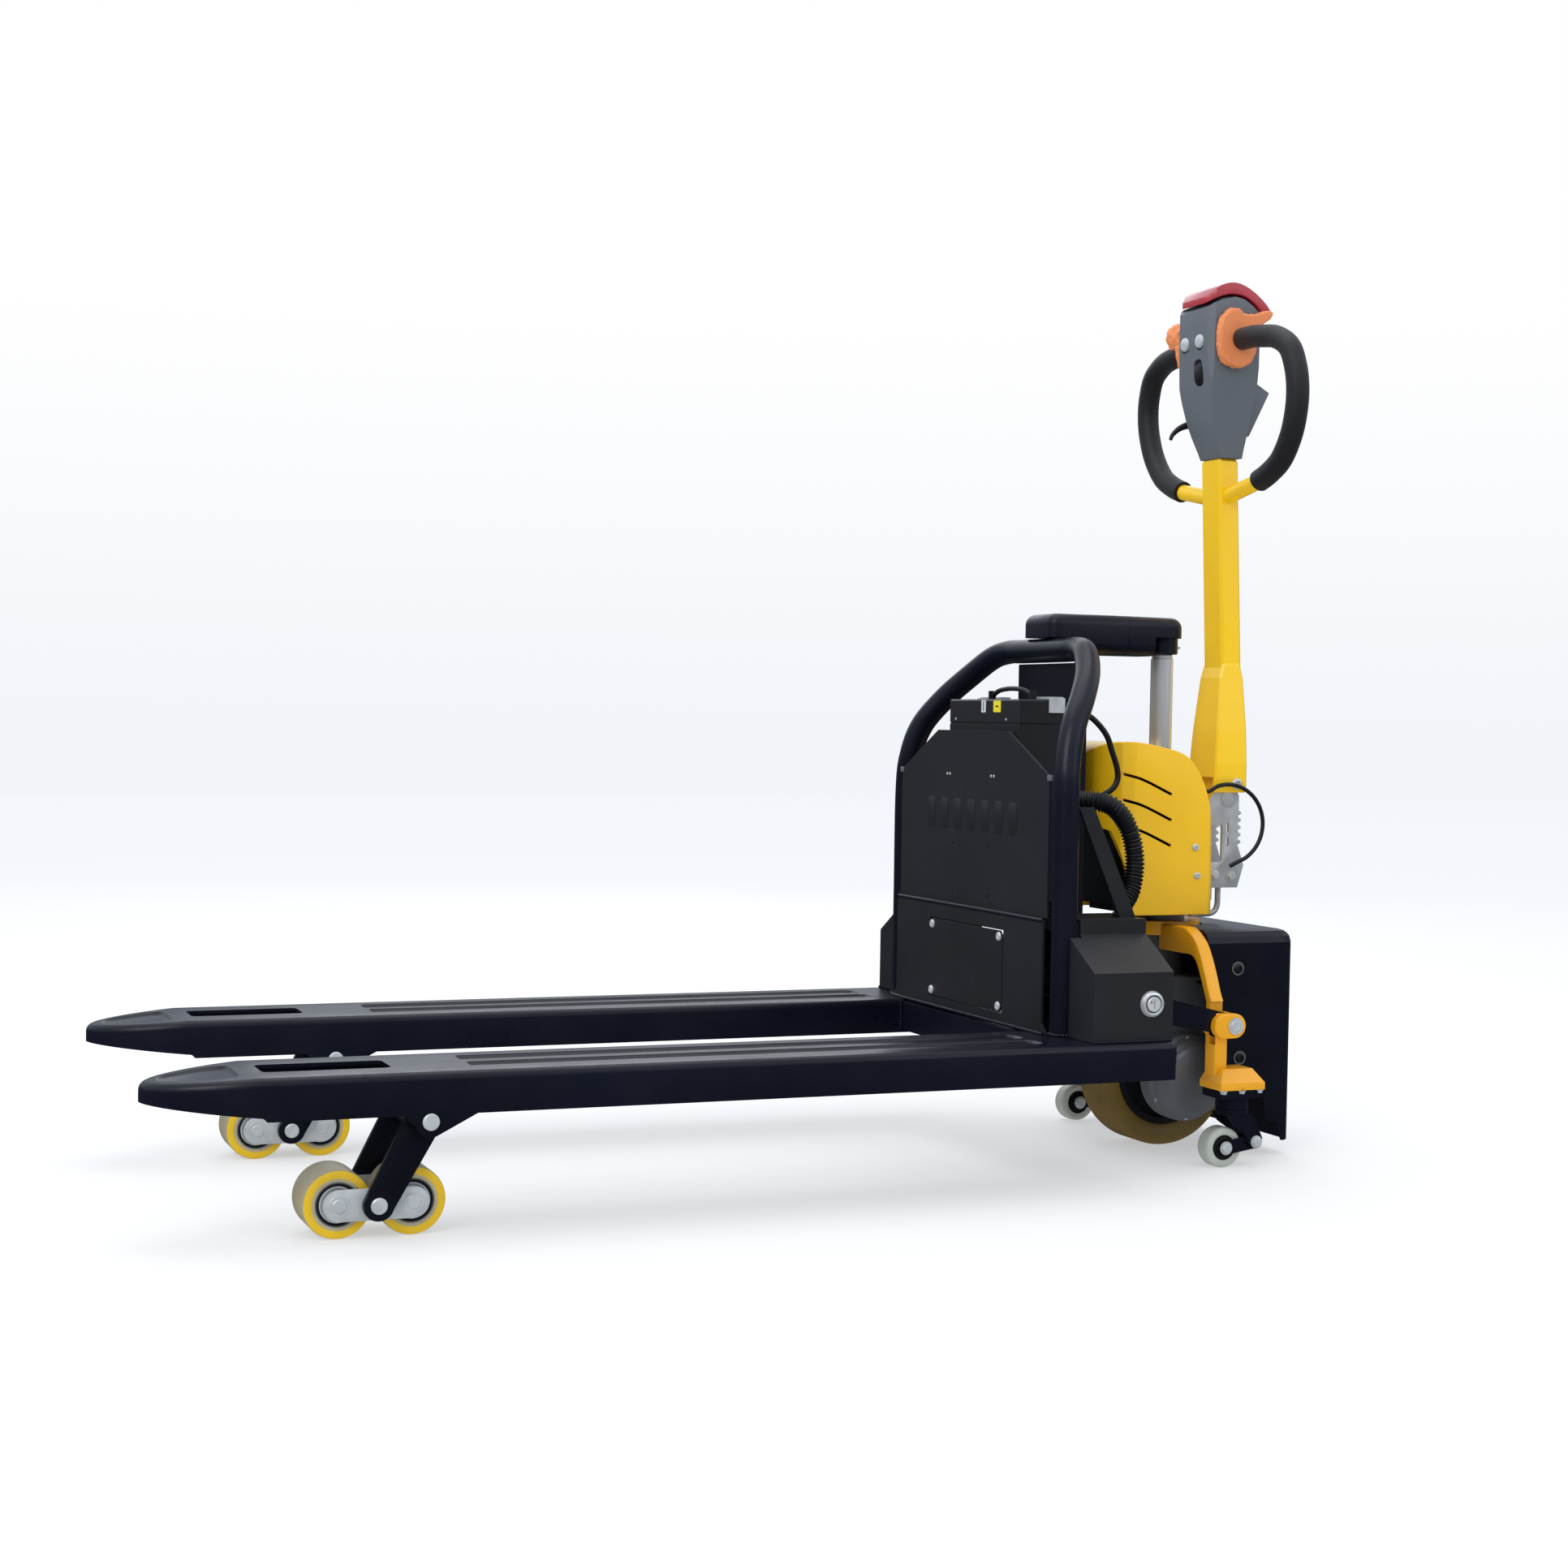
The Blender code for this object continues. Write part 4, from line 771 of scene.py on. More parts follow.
def front():
    body = body_of("front_plate")
    lip = sweep([(0.0122, -0.2235, 0.3442), (0.0122, -0.1, 0.3446), (0.0122, 0.1, 0.3446),
        (0.0122, 0.2235, 0.3442)], 0.0034, 6, 14)
    show(lip, "panel_top_lip", "black_paint", body=body)
    places = [(0.0094, y, z, -1) for y in (-0.104, 0.104) for z in (0.313, 0.218)]
    fasteners(screw_head, (0.0062, 0.003), "X", places, "cover_screws", "front_plate")
    places = [(0.0152, y + step, 0.53, -1) for y in (0.072, -0.064) for step in (-0.0042, 0.0042)]
    fasteners(screw_head, (0.002, 0.0012), "X", places, "plate_rivets", "front_plate", "white_nylon")
    bars = []
    for i in range(7):
        y = 0.126 - 0.042 * i
        outline = round_rectangle(y - 0.0125, y + 0.0125, 0.452, 0.496, 0.006, 4)
        bars.append(rounded(plate(outline, "X", 0.0145, 0.0155), 0.0004, 2))
    show(merged(bars), "raised_pads", "charcoal_paint", body=body, slot="black_paint")
    tabs = [box((0.0135, 0.0185), span(0.2225, 0.233, s), (0.528, 0.536)) for s in (-1, 1)]
    show(merged([rounded(tab, 0.0012, 2) for tab in tabs]), "corner_tabs", "motor_paint", body=body)


def tube_guard():
    half = [(0.031, 0.246, 0.1955), (0.031, 0.246, 0.35), (0.031, 0.246, 0.5), (0.0347, 0.2407, 0.555),
        (0.0475, 0.2299, 0.599), (0.0732, 0.207, 0.639), (0.0973, 0.176, 0.671), (0.1158, 0.137, 0.698),
        (0.125, 0.102, 0.706), (0.125, 0.06, 0.706)]
    points = half + [(x, -y, z) for x, y, z in reversed(half)]
    show(sweep(points, 0.017, 10, 36), "guard_tube", "black_paint", "tube_guard", angle=60)


def lift_arm():
    plan = [(0.113, -0.045), (0.22, -0.043), *arc((STEER_X, 0), 0.027, range(-80, 81, 10)), (0.22, 0.043),
        (0.113, 0.045)]
    bar = rounded(plate(plan, "Z", 0.702, 0.758), 0.015, 7)
    ring = cut(box((0.238, 0.2405), (-0.06, 0.06), (0.69, 0.77)),
        box((0.2, 0.3), (-0.0392, 0.0392), (0.704, 0.7572)))
    bar = cut(bar, box((0.05, 0.1505), (-0.07, 0.07), (0.65, 0.7245)),
        box((0.288, 0.4), (-0.07, 0.07), (0.65, 0.729)), ring)
    boss = turned([(0, 0.7058), (0.0205, 0.7058), (0.022, 0.7075), (0.022, 0.74), (0, 0.74)], "Z",
        (STEER_X, 0, 0), 48)
    show(merged([bar, boss]), "lift_arm_body", "black_paint", "lift_arm", angle=30)
    nipple = turned([(0, 0.0295), (0.0016, 0.0295), (0.0022, 0.0275), (0.0012, 0.0262), (0.0016, 0.0245),
        (0.003, 0.024), (0.003, 0.0205), (0, 0.0205)], "X", (STEER_X, 0, 0.716), 16)
    show(nipple, "grease_nipple", "zinc_steel", body=body_of("lift_arm"))


def key_switch():
    y, x, z = -0.3305, 0.115, 0.244
    bezel = turned([(0.0108, 0.0), (0.0172, 0.0), (0.0168, -0.003), (0.015, -0.0056), (0.0128, -0.0062),
        (0.0108, -0.005)], "Y", (x, y, z), 48, closed=True)
    show(bezel, "key_bezel", "chrome_steel", body=body_of("side_box_right"))
    disc = cut(turned([(0, 0.003), (0.0098, 0.003), (0.0098, -0.0066), (0.0088, -0.0076), (0, -0.0076)],
        "Y", (x, y, z), 40), box((x - 0.0009, x + 0.0009), (-0.345, -0.3362), (z - 0.0055, z + 0.0055)))
    show(disc, "key_disc", "zinc_steel", "ignition_key")
    mark = pin_at((x - 0.005, z + 0.003), -0.3375, -0.3388, 0.0014, 16, 0.0003)
    show(mark, "key_mark", "red_plastic", body=body_of("ignition_key"))


def battery_details():
    body = body_of("battery")
    for name, finish, slot, ys, zs, corner, steps, face in (
        ("white_patch", "white_label", "white_nylon", (-0.0085, 0.0045), (0.6175, 0.6345), 0.0012, 3,
            0.0306),
        ("yellow_patch", "yellow_label", "yellow_plastic", (-0.054, -0.032), (0.618, 0.634), 0.0012, 3,
            0.0306),
        ("blue_stripe", "blue_label", "black_plastic", (-0.0035, -0.0005), (0.619, 0.633), 0.0008, 2,
            0.0304),
        ("patch_bar", "black_plastic", "black_plastic", (-0.0475, -0.0385), (0.625, 0.627), 0.0008, 2,
            0.0304),
    ):
        patch = plate(round_rectangle(*ys, *zs, corner, steps), "X", face, face + 0.0003)
        show(patch, name, finish, body=body, slot=slot)
    places = [(0.031, y, 0.608, -1) for y in (0.085, -0.07)]
    fasteners(screw_head, (0.0018, 0.0008), "X", places, "cap_screws", "battery")
    arch = [(0.067, 0.0372, 0.6425), (0.067, 0.033, 0.645), (0.067, 0.016, 0.6495),
        (0.067, -0.0175, 0.6515), (0.067, -0.051, 0.6495), (0.067, -0.068, 0.645), (0.067, -0.0722, 0.6425)]
    show(sweep(arch, 0.0034, 8, 16), "battery_handle_bow", "black_plastic", "battery_handle")


# ---- Chassis, casters and drive unit ----


def chassis_casting():
    outer = curved([(0.118, 0.322), (0.135, 0.3145), (0.15, 0.303), (0.164, 0.283), (0.176, 0.26),
        (0.188, 0.234), (0.2045, 0.21)], 3)
    inner = curved([(0.178, 0.224), (0.16, 0.26), (0.148, 0.278), (0.135, 0.285)], 3)
    outline = [(0.05, 0.322), *outer, (0.2045, 0.118), (0.178, 0.118), *inner, (0.05, 0.285)]

    def bore():
        return rod((STEER_X, 0, 0.25), (STEER_X, 0, 0.36), 0.0412, 48)

    def slot():
        return plate([(0.27, 0.168), (0.345, 0.168), (0.345, 0.226), (0.27, 0.226)], "Y",
            *span(0.189, 0.2035, side))

    solids = [cut(rounded(rod((STEER_X, 0, 0.305), (STEER_X, 0, 0.325), 0.062, 64), 0.0015, 2), bore())]
    pins = []
    for side in (-1, 1):
        arm = rounded(plate(sided(outline, side), "X", 0.292, 0.3122), 0.0028, 3)
        solids.append(cut(arm, bore(), slot()))
        ear = plate(strap((0.302, 0.194), 0.017, (STEER_X, 0.194), 0.0169), "Y", *span(0.178, 0.2145, side))
        solids.append(cut(rounded(ear, 0.002, 3), slot()))
        pad = box((0.287, 0.357), span(0.176, 0.23, side), (0.108, 0.118))
        top = box((0.287, 0.357), span(0.176, 0.23, side), (0.1175, 0.135))
        for vert in top.data.vertices:
            if vert.co.z > 0.13:
                vert.co.x += 0.013 if vert.co.x < 0.32 else -0.0095
                vert.co.y += -0.018 * side if abs(vert.co.y) > 0.2 else 0
        solids.append(rounded(joined(pad, top), 0.0022, 3, 20))
        pins.append(pin_at((STEER_X, 0.194), side * 0.18, side * 0.2165, 0.008, 36, 0.001))
        pins.append(washer((STEER_X, side * 0.2146, 0.194), "Y", 0.0081, 0.0118, 0.0012 * side, 36))
    show(merged(solids), "casting_body", "orange_yellow_paint", "chassis_casting", slot="yellow_paint")
    show(merged(pins), "ear_pins", "zinc_steel", body=body_of("chassis_casting"))
    places = [(x, side * y, 0.1078, -1) for side in (-1, 1) for x, y in ((0.2935, 0.226), (0.3215, 0.2275),
        (0.3505, 0.226))]
    fasteners(hex_bolt, (0.0046, 0.0048), "Z", places, "pad_bolts", "chassis_casting")


def rear_guard_bolts():
    places = [(x, side * 0.15, z, side) for side in (-1, 1) for x, z in ((0.361, 0.2656), (0.367, 0.14))]
    fasteners(screw_head, (0.0074, 0.004), "Y", places, "guard_bolts", "rear_guard", "black_plastic")
    rims = [washer(place, "Y", 0.0074, 0.0096, 0.001 * side) for *place, side in places]
    show(merged(rims), "guard_washers", "motor_paint", body=body_of("rear_guard"))


def caster(side, word):
    y = side * CASTER_Y
    centre = (CASTER_AXLE[0], y, CASTER_AXLE[1])
    half = [(0.0172, 0.0118), (0.0215, 0.0128), (0.0245, 0.0128), (0.0268, 0.0115), (0.0278, 0.0092),
        (0.028, 0.006)]
    tread = wheel_ring(half, centre, 56)
    show(tread, "caster_tread_" + word, "white_nylon", "caster_wheel_" + word, angle=60)
    half = [(0.0049, 0.013), (0.0095, 0.013), (0.0105, 0.01), (0.016, 0.01), (0.0175, 0.012)]
    hub = wheel_ring(half, centre, 48)
    show(hub, "caster_hub_" + word, "black_plastic", body=body_of("caster_wheel_" + word))
    for name, (x, z), out, size, node in (
        ("axle", CASTER_AXLE, 0.0172, (0.0074, 0.0052), "caster_swing_arm_"),
        ("pivot", CASTER_PIVOT, 0.0208, (0.007, 0.0048), "caster_bracket_"),
    ):
        places = [(x, y + s * out, z, s) for s in (-1, 1)]
        fasteners(hex_bolt, size, "Y", places, f"caster_{name}_nuts_{word}", node + word)


def drive():
    x, z = STEER_X, WHEEL_R
    pipe = rod((x, 0, 0.24), (x, 0, 0.333), 0.04, 48)
    top = rounded(box((0.262, 0.374), (-0.0695, 0.045), (0.232, 0.246)), 0.003, 3)
    cheek = rounded(plate(strap((x, 0.2), 0.048, (x, z), 0.055, 16), "Y", -0.07, -0.06), 0.002, 2)
    cheek_top = box((0.272, 0.364), (-0.0695, -0.0605), (0.19, 0.24))
    motor = turned([(0.0, 0.0295), (0.012, 0.0295), (0.012, -0.045), (0.03, -0.045), (0.03, -0.065),
        (0.0585, -0.065), (0.061, -0.0665), (0.061, -0.076), (0.0596, -0.0772), (0.0596, -0.08),
        (0.061, -0.0812), (0.061, -0.0905), (0.0575, -0.0925), (0.056, -0.0945), (0.0548, -0.105),
        (0.052, -0.11), (0.05, -0.1135), (0.0485, -0.118), (0.044, -0.1225), (0.038, -0.1245),
        (0.03, -0.1255), (0.0, -0.1262)], "Y", (x, 0, z), 72)
    show(merged([pipe, top, cheek, cheek_top, motor]), "drive_unit_body", "motor_paint", "drive_unit",
        angle=25)
    places = [(u, -0.0915, v, -1) for u, v in arc((x, z), 0.0565, range(30, 390, 60))]
    fasteners(screw_head, (0.003, 0.0028), "Y", places, "motor_screws", "drive_unit")
    centre = (x, 0, z)
    hub = [(0.0124, 0.024), (0.024, 0.024), (0.028, 0.0225), (0.029, 0.018), (0.06, 0.016), (0.064, 0.019),
        (0.065, 0.0325), (0.075, 0.033), (0.075, -0.033), (0.065, -0.0325), (0.064, -0.024),
        (0.0124, -0.024)]
    show(turned(hub, "Y", centre, 64, closed=True), "drive_hub", "black_plastic", "drive_wheel_hub")
    half = [(0.0752, 0.032), (0.08, 0.0346), (0.096, 0.035), (0.0995, 0.0343), (0.1025, 0.0325),
        (0.1042, 0.03), (0.105, 0.0265)]
    tyre = wheel_ring(half, centre, 96)
    show(tyre, "drive_tyre_body", "brown_tread", "drive_tyre", angle=60)
    places = [(u, 0.0165, v, 1) for u, v in arc((x, z), 0.046, range(0, 360, 72))]
    fasteners(hex_bolt, (0.0058, 0.005), "Y", places, "wheel_nuts", "drive_tyre")


def lift_cylinder():
    barrel = [(0.0, 0.3334), (0.028, 0.3334), (0.029, 0.3345), (0.029, 0.3475), (0.0262, 0.35),
        (0.0262, 0.543), (0.0295, 0.544), (0.03, 0.545), (0.03, 0.5455), (0.0166, 0.5455), (0.0166, 0.34),
        (0.0, 0.34)]
    show(turned(barrel, "Z", (STEER_X, 0, 0), 56), "cylinder_barrel", "black_paint", "lift_cylinder")
    collar = [(0.0168, 0.5455), (0.03, 0.5455), (0.03, 0.56), (0.0285, 0.563), (0.0175, 0.563),
        (0.0168, 0.5622)]
    show(turned(collar, "Z", (STEER_X, 0, 0), 56, closed=True), "cylinder_collar", "cast_alloy",
        body=body_of("lift_cylinder"))
    rods = turned([(0.0, 0.455), (0.016, 0.455), (0.016, 0.699), (0.015, 0.7), (0.015, 0.704),
        (0.014, 0.7053), (0.0, 0.7053)], "Z", (STEER_X, 0, 0), 56)
    show(rods, "piston_rod_body", "chrome_steel", "piston_rod")


COVER_HALF = [(0.1735, 0.03), (0.18, 0.056), (0.205, 0.088), (0.222, 0.095), (0.345, 0.095), (0.358, 0.082)]
COVER_SIDE = [(0.36, 0.3), (0.3565, 0.345), (0.3545, 0.42), (0.35, 0.47), (0.338, 0.515), (0.322, 0.545),
    (0.3, 0.564), (0.266, 0.573), (0.226, 0.5795), (0.195, 0.578), (0.178, 0.568), (0.1735, 0.552)]


def cover_solid(inset, floor_z):
    """The cover's outer form, or its hollow when moved inwards by a wall's thickness."""
    plan = [(x + (inset if x < 0.3 else -inset), y - inset) for x, y in COVER_HALF]
    base = plate(both_ways(plan), "Z", floor_z, 0.585)
    side = [(x - inset if x > 0.3 else x, z - (inset if z > 0.5 else 0)) for x, z in curved(COVER_SIDE, 4)]
    side = plate([*side, (0.1, 0.552), (0.1, 0.3)], "Y", -0.2, 0.2)
    return combined(base, [side], "INTERSECT")


def pump_cover():
    shell = rounded(cover_solid(0, 0.337), 0.0055, 4, 25)
    hollow = cover_solid(0.0035, 0.3)
    side_way = plate([(0.15, 0.3), (0.228, 0.3), (0.213, 0.4), (0.196, 0.455), (0.15, 0.475)], "Y", -0.2,
        0.2)
    slots = []
    for drop in (0, 0.036, 0.072):
        top = curved([(0.193, 0.5405 - drop), (0.215, 0.535 - drop), (0.24, 0.5275 - drop),
            (0.283, 0.5085 - drop)], 5)
        below = curved([(0.2815, 0.5045 - drop), (0.239, 0.5235 - drop), (0.214, 0.531 - drop),
            (0.193, 0.5365 - drop)], 5)
        for side in (-1, 1):
            slots.append(side_plate(top + below, 0.085, 0.12, side))
    shell = cut(shell, hollow, box((0.1, 0.2), (-0.045, 0.045), (0.3, 0.475)), side_way,
        rod((STEER_X, 0, 0.45), (STEER_X, 0, 0.65), 0.0312, 48), *slots)
    show(shell, "pump_cover_shell", "yellow_plastic", "pump_cover", angle=30)
    places = [(x, side * 0.0948, z, side) for side in (-1, 1)
        for x, z in ((0.3216, 0.4324), (0.3253, 0.3923))]
    fasteners(screw_head, (0.0052, 0.0032), "Y", places, "cover_side_screws", "pump_cover")


def tiller_base():
    x, z = TILLER_PIVOT
    teeth = []
    for i in range(5):
        low = 0.482 - 0.0105 * i
        teeth += [(0.4335, low), (0.4372, low - 0.0026), (0.4372, low - 0.005), (0.4318, low - 0.0078)]
    outline = [(0.373, 0.477), (0.394, 0.509), (0.406, 0.517), (0.417, 0.5185), (0.4275, 0.5135),
        (0.433, 0.503), *teeth, (0.434, 0.428), (0.443, 0.402), (0.433, 0.37), (0.373, 0.37)]
    solids = []
    windows = ((0.38, 0.406, 0.407, 0.461, 0.004), (0.413, 0.417, 0.43, 0.442, 0.0018),
        (0.413, 0.417, 0.45, 0.464, 0.0018))
    for s in (-1, 1):
        openings = [side_plate(round_rectangle(*window), 0.02, 0.04, s) for window in windows]
        cheek = cut(side_plate(outline, 0.0265, 0.0316, s), *openings)
        solids.append(rounded(cheek, 0.0008, 2, 40))
        solids.append(turned([(0, 0), (0.0125, 0), (0.0125, 0.0016 * s), (0.0105, 0.0028 * s),
            (0, 0.0028 * s)], "Y", (x, s * 0.031, z), 40))
    solids.append(rounded(box((0.372, 0.428), (-0.029, 0.029), (0.372, 0.402)), 0.002, 2))
    solids.append(rounded(box((0.3595, 0.396), (-0.024, 0.024), (0.351, 0.38)), 0.002, 2))
    solids.append(pin_at(TILLER_PIVOT, -0.0318, 0.0318, 0.008, 32))
    show(merged(solids), "tiller_base_casting", "cast_alloy", "tiller_base")
    places = [(u, s * 0.0316, v, s) for s in (-1, 1) for u, v in ((0.3945, 0.3885), (0.422, 0.387))]
    fasteners(hex_bolt, (0.0062, 0.0048), "Y", places, "base_bolts", "tiller_base")
    body = body_of("tiller_base")
    coil = [(0.393 + 0.01 * math.cos(a), 0.01 * math.sin(a), 0.397 + 0.066 * a / (14 * math.pi))
        for a in [math.radians(30 * i) for i in range(85)]]
    show(sweep(coil, 0.0014, 2, 8), "return_spring", "black_plastic", body=body)
    route = [(0.409, -0.018, 0.379), (0.409, -0.018, 0.356), (0.4085, -0.018, 0.344),
        (0.404, -0.018, 0.3352), (0.395, -0.018, 0.3315), (0.38, -0.018, 0.3312), (0.362, -0.018, 0.3312)]
    show(sweep(route, 0.0042, 8, 18), "base_pipe", "cast_alloy", body=body)


# ---- Tiller ----


def tiller_x(z):
    return 0.419 - 0.042 * (z - 0.715)


def tiller_details():
    places = [(0.425, s * 0.0372, 0.521, s) for s in (-1, 1)]
    fasteners(screw_head, (0.0082, 0.0042), "Y", places, "bracket_bolts", "tiller_tube")
    stubs = [rod((tiller_x(0.937), s * 0.02, 0.9362), (tiller_x(0.951), s * 0.1, 0.9512), 0.0115, 36)
        for s in (-1, 1)]
    show(merged(stubs), "grip_stubs", "yellow_paint", body=body_of("tiller_tube"))


def control_head():
    view = curved([(0.3925, 0.9906), (0.372, 1.0465), (0.359, 1.13), (0.3575, 1.2)], 3)
    view += [(0.366, 1.208), (0.38, 1.2145), (0.4, 1.2185), (0.415, 1.2155), (0.429, 1.207), (0.441, 1.196),
        (0.44, 1.1), (0.434, 1.045), (0.427, 0.9906)]
    base = plate(view, "Y", -0.0465, 0.0465)
    tapers = [plate(sided([(0.0275, 0.98), (0.029, 1.0), (0.042, 1.08), (0.047, 1.125), (0.07, 1.125),
        (0.07, 0.98)], s), "X", 0.3, 0.52) for s in (-1, 1)]
    facets = [plate([(0.34, s * 0.033), (0.355, s * 0.033), (0.367, s * 0.048), (0.34, s * 0.048)], "Z",
        0.95, 1.25) for s in (-1, 1)]
    shell = rounded(cut(base, *tapers, *facets), 0.0022, 3, 18)
    fin = rounded(plate([(0.428, 1.118), (0.456, 1.106), (0.483, 1.091), (0.45, 1.026), (0.428, 1.02)], "Y",
        -0.011, 0.011), 0.0022, 3)
    holes = [rod((0.34, y, 1.156), (0.369, y, 1.156), 0.0106, 36) for y in (-0.0185, 0.0205)]
    holes.append(plate(round_rectangle(-0.023, -0.001, 1.093, 1.131, 0.008), "X", 0.34, 0.376))
    holes.append(pin_at(THROTTLE, -0.06, 0.06, 0.0098, 36))
    show(cut(joined(shell, fin), *holes), "head_shell", "grey_plastic", "control_head", angle=22)
    rims = [washer((0.358, y, 1.156), "X", 0.0107, 0.0125, 0.0014, 40) for y in (-0.0185, 0.0205)]
    show(merged(rims), "button_rims", "black_plastic", body=body_of("control_head"))


def head_controls():
    for y, node in ((-0.0185, "lift_button"), (0.0205, "lower_button")):
        cap = turned([(0.0, 0.0), (0.01, 0.0), (0.01, -0.009), (0.009, -0.0108), (0.0068, -0.0118),
            (0, -0.012)], "X", (0.366, y, 1.156), 40)
        groove = box((0.353, 0.3546), (y - 0.0045, y + 0.0045), (1.1552, 1.1568))
        show(cut(cap, groove), node + "_cap", "zinc_steel", node)
    switch = curved([(0.365, 1.0945), (0.3608, 1.101), (0.359, 1.112), (0.3598, 1.121), (0.3625, 1.1295)],
        4)
    switch = plate([(0.372, 1.096), *switch, (0.372, 1.128)], "Y", -0.0222, -0.0018)
    show(rounded(switch, 0.0012, 2), "speed_switch_cap", "black_plastic", "speed_switch")
    lever = [(0.395, 0.048, 1.045), (0.382, 0.049, 1.044), (0.368, 0.05, 1.038), (0.358, 0.0505, 1.029),
        (0.3545, 0.0505, 1.0215)]
    blade = sweep(lever, lambda s: 0.0062 - 0.0036 * min(1.0, s / 0.05), 10, 18)
    hub = pin_at((0.395, 1.043), 0.038, 0.0525, 0.0065, 28)
    show(merged([blade, hub]), "lift_lever_blade", "black_plastic", "lift_lever")


def belly_button():
    lower = curved([(0.358, 1.2085), (0.37, 1.2158), (0.385, 1.2212), (0.4, 1.2232), (0.418, 1.2205),
        (0.434, 1.2115), (0.446, 1.2005)], 3)
    upper = curved([(0.459, 1.1985), (0.459, 1.205), (0.446, 1.2185), (0.424, 1.233), (0.4, 1.2396),
        (0.376, 1.2335), (0.358, 1.2175)], 3)
    cap = plate(lower + upper, "Y", -0.043, 0.043)
    corners = [plate([(0.34, s * 0.03), (0.357, s * 0.03), (0.371, s * 0.044), (0.34, s * 0.044)], "Z",
        1.15, 1.3) for s in (-1, 1)]
    show(rounded(cut(cap, *corners), 0.0042, 4, 24), "belly_cap", "red_plastic", "belly_button", angle=40)
    # A black strip that fills the gap between the red cap and the head: painted shade for the shadow line
    # under the cap.
    seal = [(0.364, 1.204), (0.38, 1.2125), (0.4, 1.2165), (0.415, 1.214), (0.429, 1.205), (0.438, 1.198),
        (0.44, 1.201), (0.431, 1.2095), (0.416, 1.2185), (0.4, 1.221), (0.38, 1.2168), (0.364, 1.2085)]
    seal = plate(seal, "Y", -0.04, 0.04)
    show(seal, "button_gap_shade", "black_plastic", body=body_of("control_head"))
    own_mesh(seal)


def throttle(side, word):
    x, z = THROTTLE
    knob = curved([(0.363, 1.15), (0.368, 1.13), (0.381, 1.118), (0.4, 1.115), (0.416, 1.121),
        (0.426, 1.137), (0.43, 1.16), (0.432, 1.176), (0.451, 1.189), (0.454, 1.199), (0.445, 1.202),
        (0.423, 1.195), (0.406, 1.195), (0.397, 1.201), (0.384, 1.201), (0.37, 1.188), (0.3635, 1.17)], 2)
    horn = curved([(0.37, 1.156), (0.3625, 1.17), (0.364, 1.184), (0.374, 1.196), (0.385, 1.195),
        (0.382, 1.184), (0.376, 1.174), (0.376, 1.16)], 2)
    wing = curved([(0.42, 1.183), (0.433, 1.18), (0.451, 1.189), (0.4535, 1.199), (0.445, 1.202),
        (0.423, 1.195), (0.41, 1.193)], 2)
    base = rounded(side_plate(knob, 0.048, 0.062, side), 0.0045, 3, 40)
    lobes = [rounded(side_plate(horn, 0.049, 0.086, side), 0.003, 2, 40),
        rounded(side_plate(wing, 0.049, 0.08, side), 0.003, 2, 40)]
    base = cut(merged([base, *lobes]), pin_at(THROTTLE, side * 0.04, side * 0.07, 0.0098, 28))
    # The surface is dented by noise and then cut down to coarse facets.
    remesh = base.modifiers.new("even", "REMESH")
    remesh.mode = "VOXEL"
    remesh.voxel_size = 0.0016
    base = baked(base)
    for vert in base.data.vertices:
        radial = Vector((vert.co.x - x, 0, vert.co.z - z))
        if radial.length > 0.014:
            ripple = noise.noise(vert.co * 130 + Vector((side * 7, 0, 0)))
            vert.co -= radial.normalized() * (0.001 + 0.0022 * ripple)
    fewer = base.modifiers.new("facets", "DECIMATE")
    fewer.ratio = 0.06
    base = baked(base)
    show(base, "throttle_knob_" + word, "orange_plastic", "throttle_" + word, angle=9)


def grip(side, word):
    half = [(0.064, 1.156), (0.09, 1.156), (0.118, 1.153), (0.15, 1.147), (0.18, 1.13), (0.194, 1.103),
        (0.199, 1.075), (0.196, 1.045), (0.183, 1.01), (0.158, 0.978), (0.128, 0.961), (0.1025, 0.952)]
    points = [(tiller_x(z), side * y, z) for y, z in half]
    points[0] = (0.4005, side * half[0][0], half[0][1])
    foam = sweep(points, 0.0159, 8, 36)
    start = Vector(points[0])
    rim = sweep([start, start + Vector((0, side * 0.003, 0))], 0.014, 2, 32)
    pin = pin_at(THROTTLE, side * 0.0475, side * 0.07, 0.009, 28)
    show(foam, "foam_grip_" + word, "black_foam", "grip_" + word, angle=60)
    show(merged([pin, rim]), "grip_end_" + word, "black_plastic", body=body_of("grip_" + word))


# ---- Cables ----


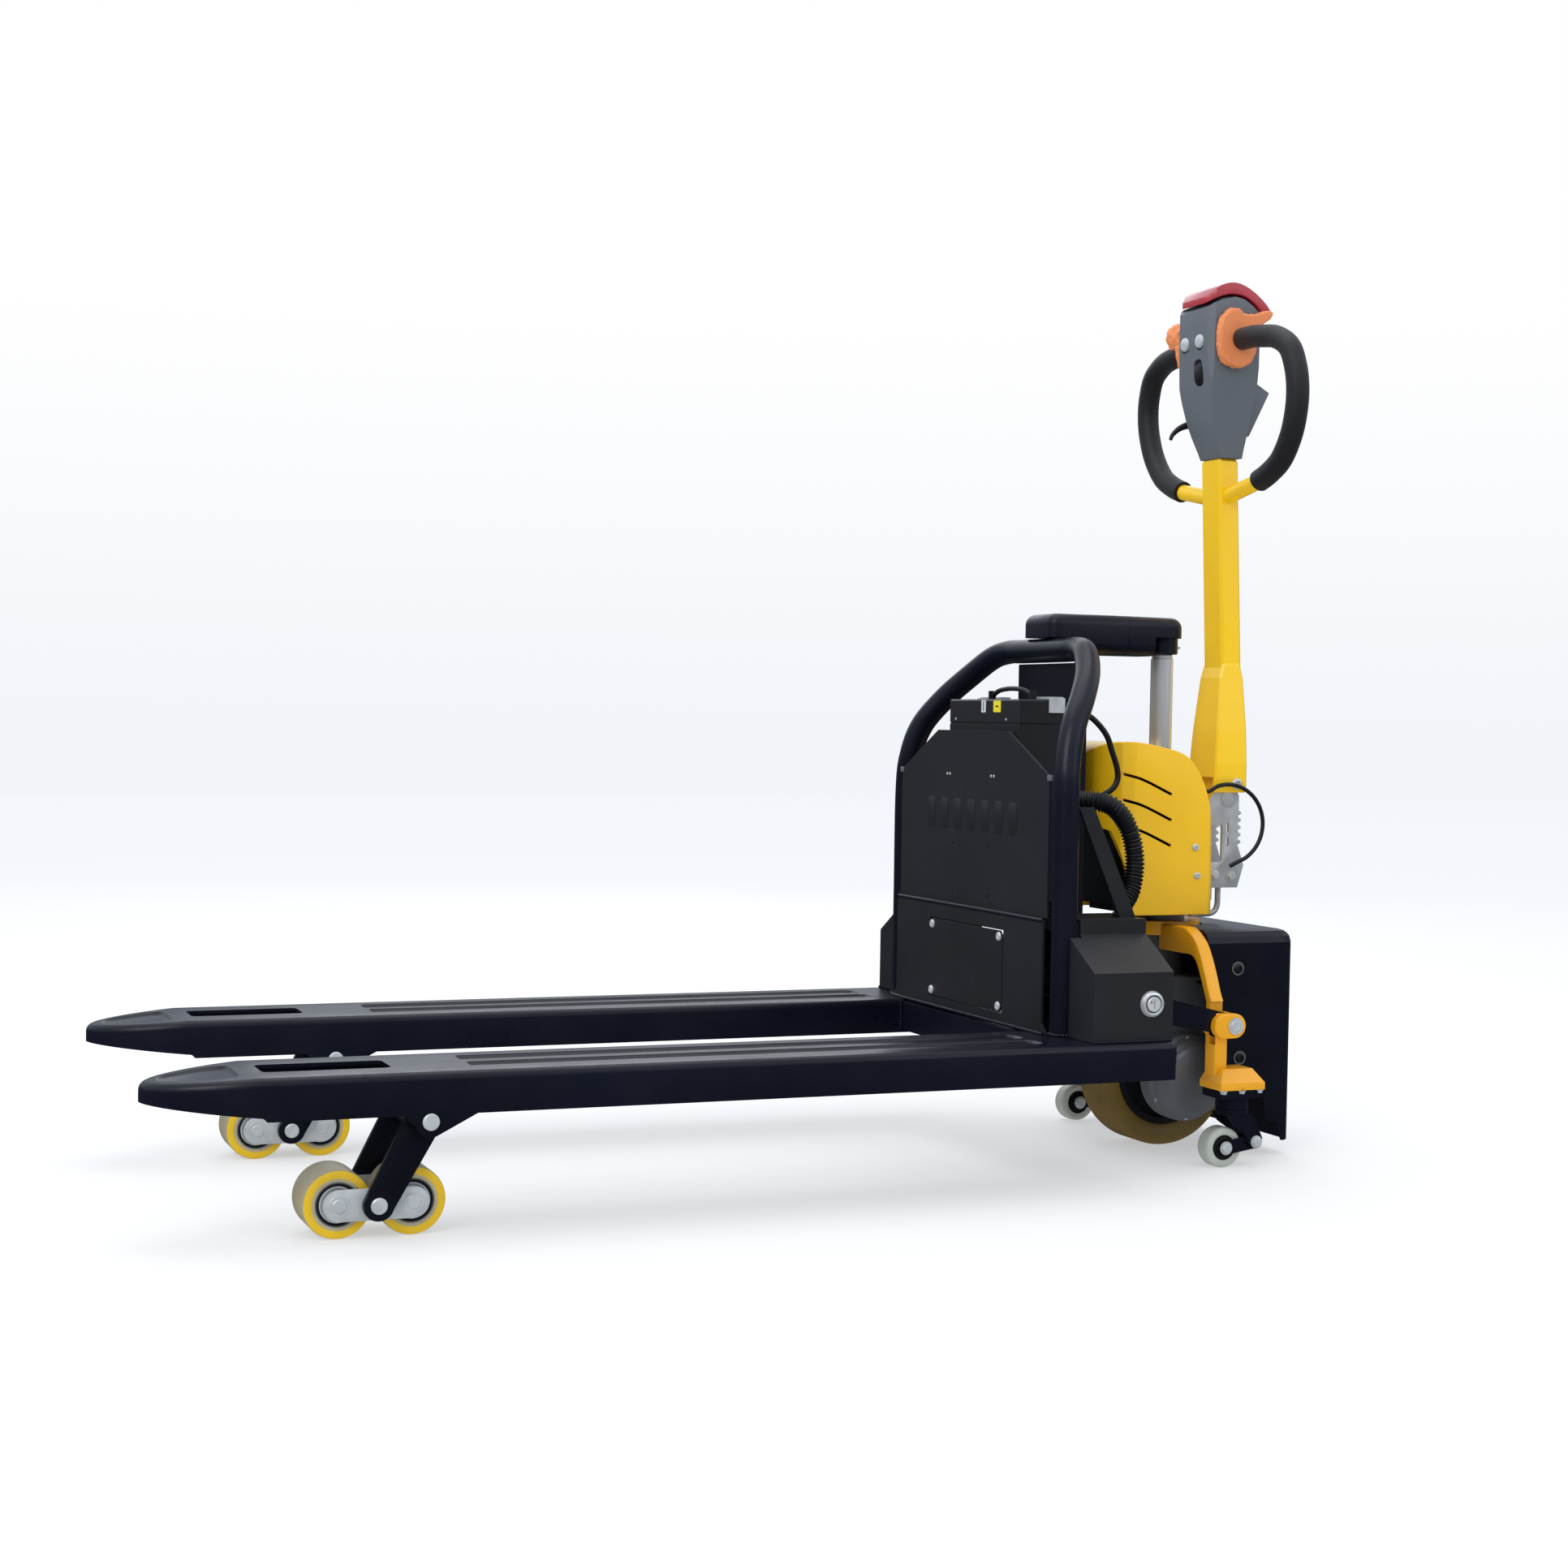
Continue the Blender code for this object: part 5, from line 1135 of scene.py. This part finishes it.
def cables():
    conduit = [(0.086, -0.175, 0.5), (0.1, -0.19, 0.501), (0.126, -0.2, 0.494), (0.149, -0.203, 0.466),
        (0.158, -0.207, 0.425), (0.15, -0.213, 0.385), (0.1335, -0.22, 0.362), (0.133, -0.22, 0.3486)]
    ribs = sweep(conduit, lambda s: 0.012 + 0.0014 * math.tanh(2.5 * math.sin(s * 2 * math.pi / 0.0052)),
        44, 24)
    show(ribs, "corrugated_conduit", "black_plastic", "conduit", angle=60)
    lead = [(0.1, -0.15, 0.622), (0.116, -0.162, 0.61), (0.134, -0.165, 0.59), (0.1435, -0.165, 0.568),
        (0.152, -0.165, 0.545), (0.153, -0.165, 0.529), (0.145, -0.165, 0.516), (0.128, -0.16, 0.506),
        (0.11, -0.15, 0.503)]
    show(sweep(lead, 0.004, 8, 18), "battery_lead_sheath", "black_plastic", "battery_lead", angle=60)
    loop = [(0.3615, -0.043, 0.518)]
    loop += [(0.406 + 0.06 * math.cos(a), -0.0445, 0.4625 + 0.0575 * math.sin(a))
        for a in [math.radians(d) for d in (125, 105, 85, 65, 45, 25, 5, -15, -35, -55, -73)]]
    loop.append((0.413, -0.043, 0.402))
    show(sweep(loop, 0.003, 8, 16), "tiller_cable_sheath", "black_plastic", "tiller_cable", angle=60)


# ---- CAD nodes that stay: a finish and softened edges ----


KEPT = {
    "front_plate": ("charcoal_paint", 0.0006), "lower_panel": ("charcoal_paint", 0.0006),
    "inspection_cover": ("charcoal_paint", 0.0005), "heel_frame": ("black_paint", 0.0015),
    "side_box_left": ("charcoal_paint", 0.0022), "side_box_right": ("charcoal_paint", 0.0022),
    "battery": ("charcoal_paint", 0.0006),
    "battery_latch_left": ("zinc_steel", 0.0004), "battery_latch_right": ("zinc_steel", 0.0004),
    "tiller_tube": ("yellow_paint", 0.001), "rocker": ("black_paint", 0.0008),
    "pump_unit": ("black_plastic", 0.0012),
}


def kept_nodes():
    for node, obj in NODES.items():
        if obj.hide_render:
            continue
        finish, width = KEPT.get(node, ("black_paint", 0.0005))
        obj.data.materials.clear()
        obj.data.materials.append(FINISH[finish])
        weld = obj.modifiers.new("weld", "WELD")
        weld.merge_threshold = 0.00002
        flat = obj.modifiers.new("flat", "DECIMATE")
        flat.decimate_type = "DISSOLVE"
        flat.angle_limit = math.radians(0.6)
        edges = obj.modifiers.new("edges", "BEVEL")
        edges.width = width
        edges.segments = 2
        edges.limit_method = "ANGLE"
        edges.angle_limit = math.radians(40)
        edges.harden_normals = True


# ---- Assembly ----

camera()
studio()
floor()
for side, word in SIDES:
    fork(side, word)
    load_arm(side, word)
    bogie(side, word)
    load_wheel(side, word, -AXLE_OFFSET, "front")
    load_wheel(side, word, AXLE_OFFSET, "rear")
    push_rod(side, word)
    caster(side, word)
    throttle(side, word)
    grip(side, word)
for build in (
    welds, front, tube_guard, lift_arm, key_switch, battery_details, chassis_casting, rear_guard_bolts, drive,
    lift_cylinder, pump_cover, tiller_base, tiller_details, control_head, head_controls, belly_button, cables,
    kept_nodes,
):
    build()
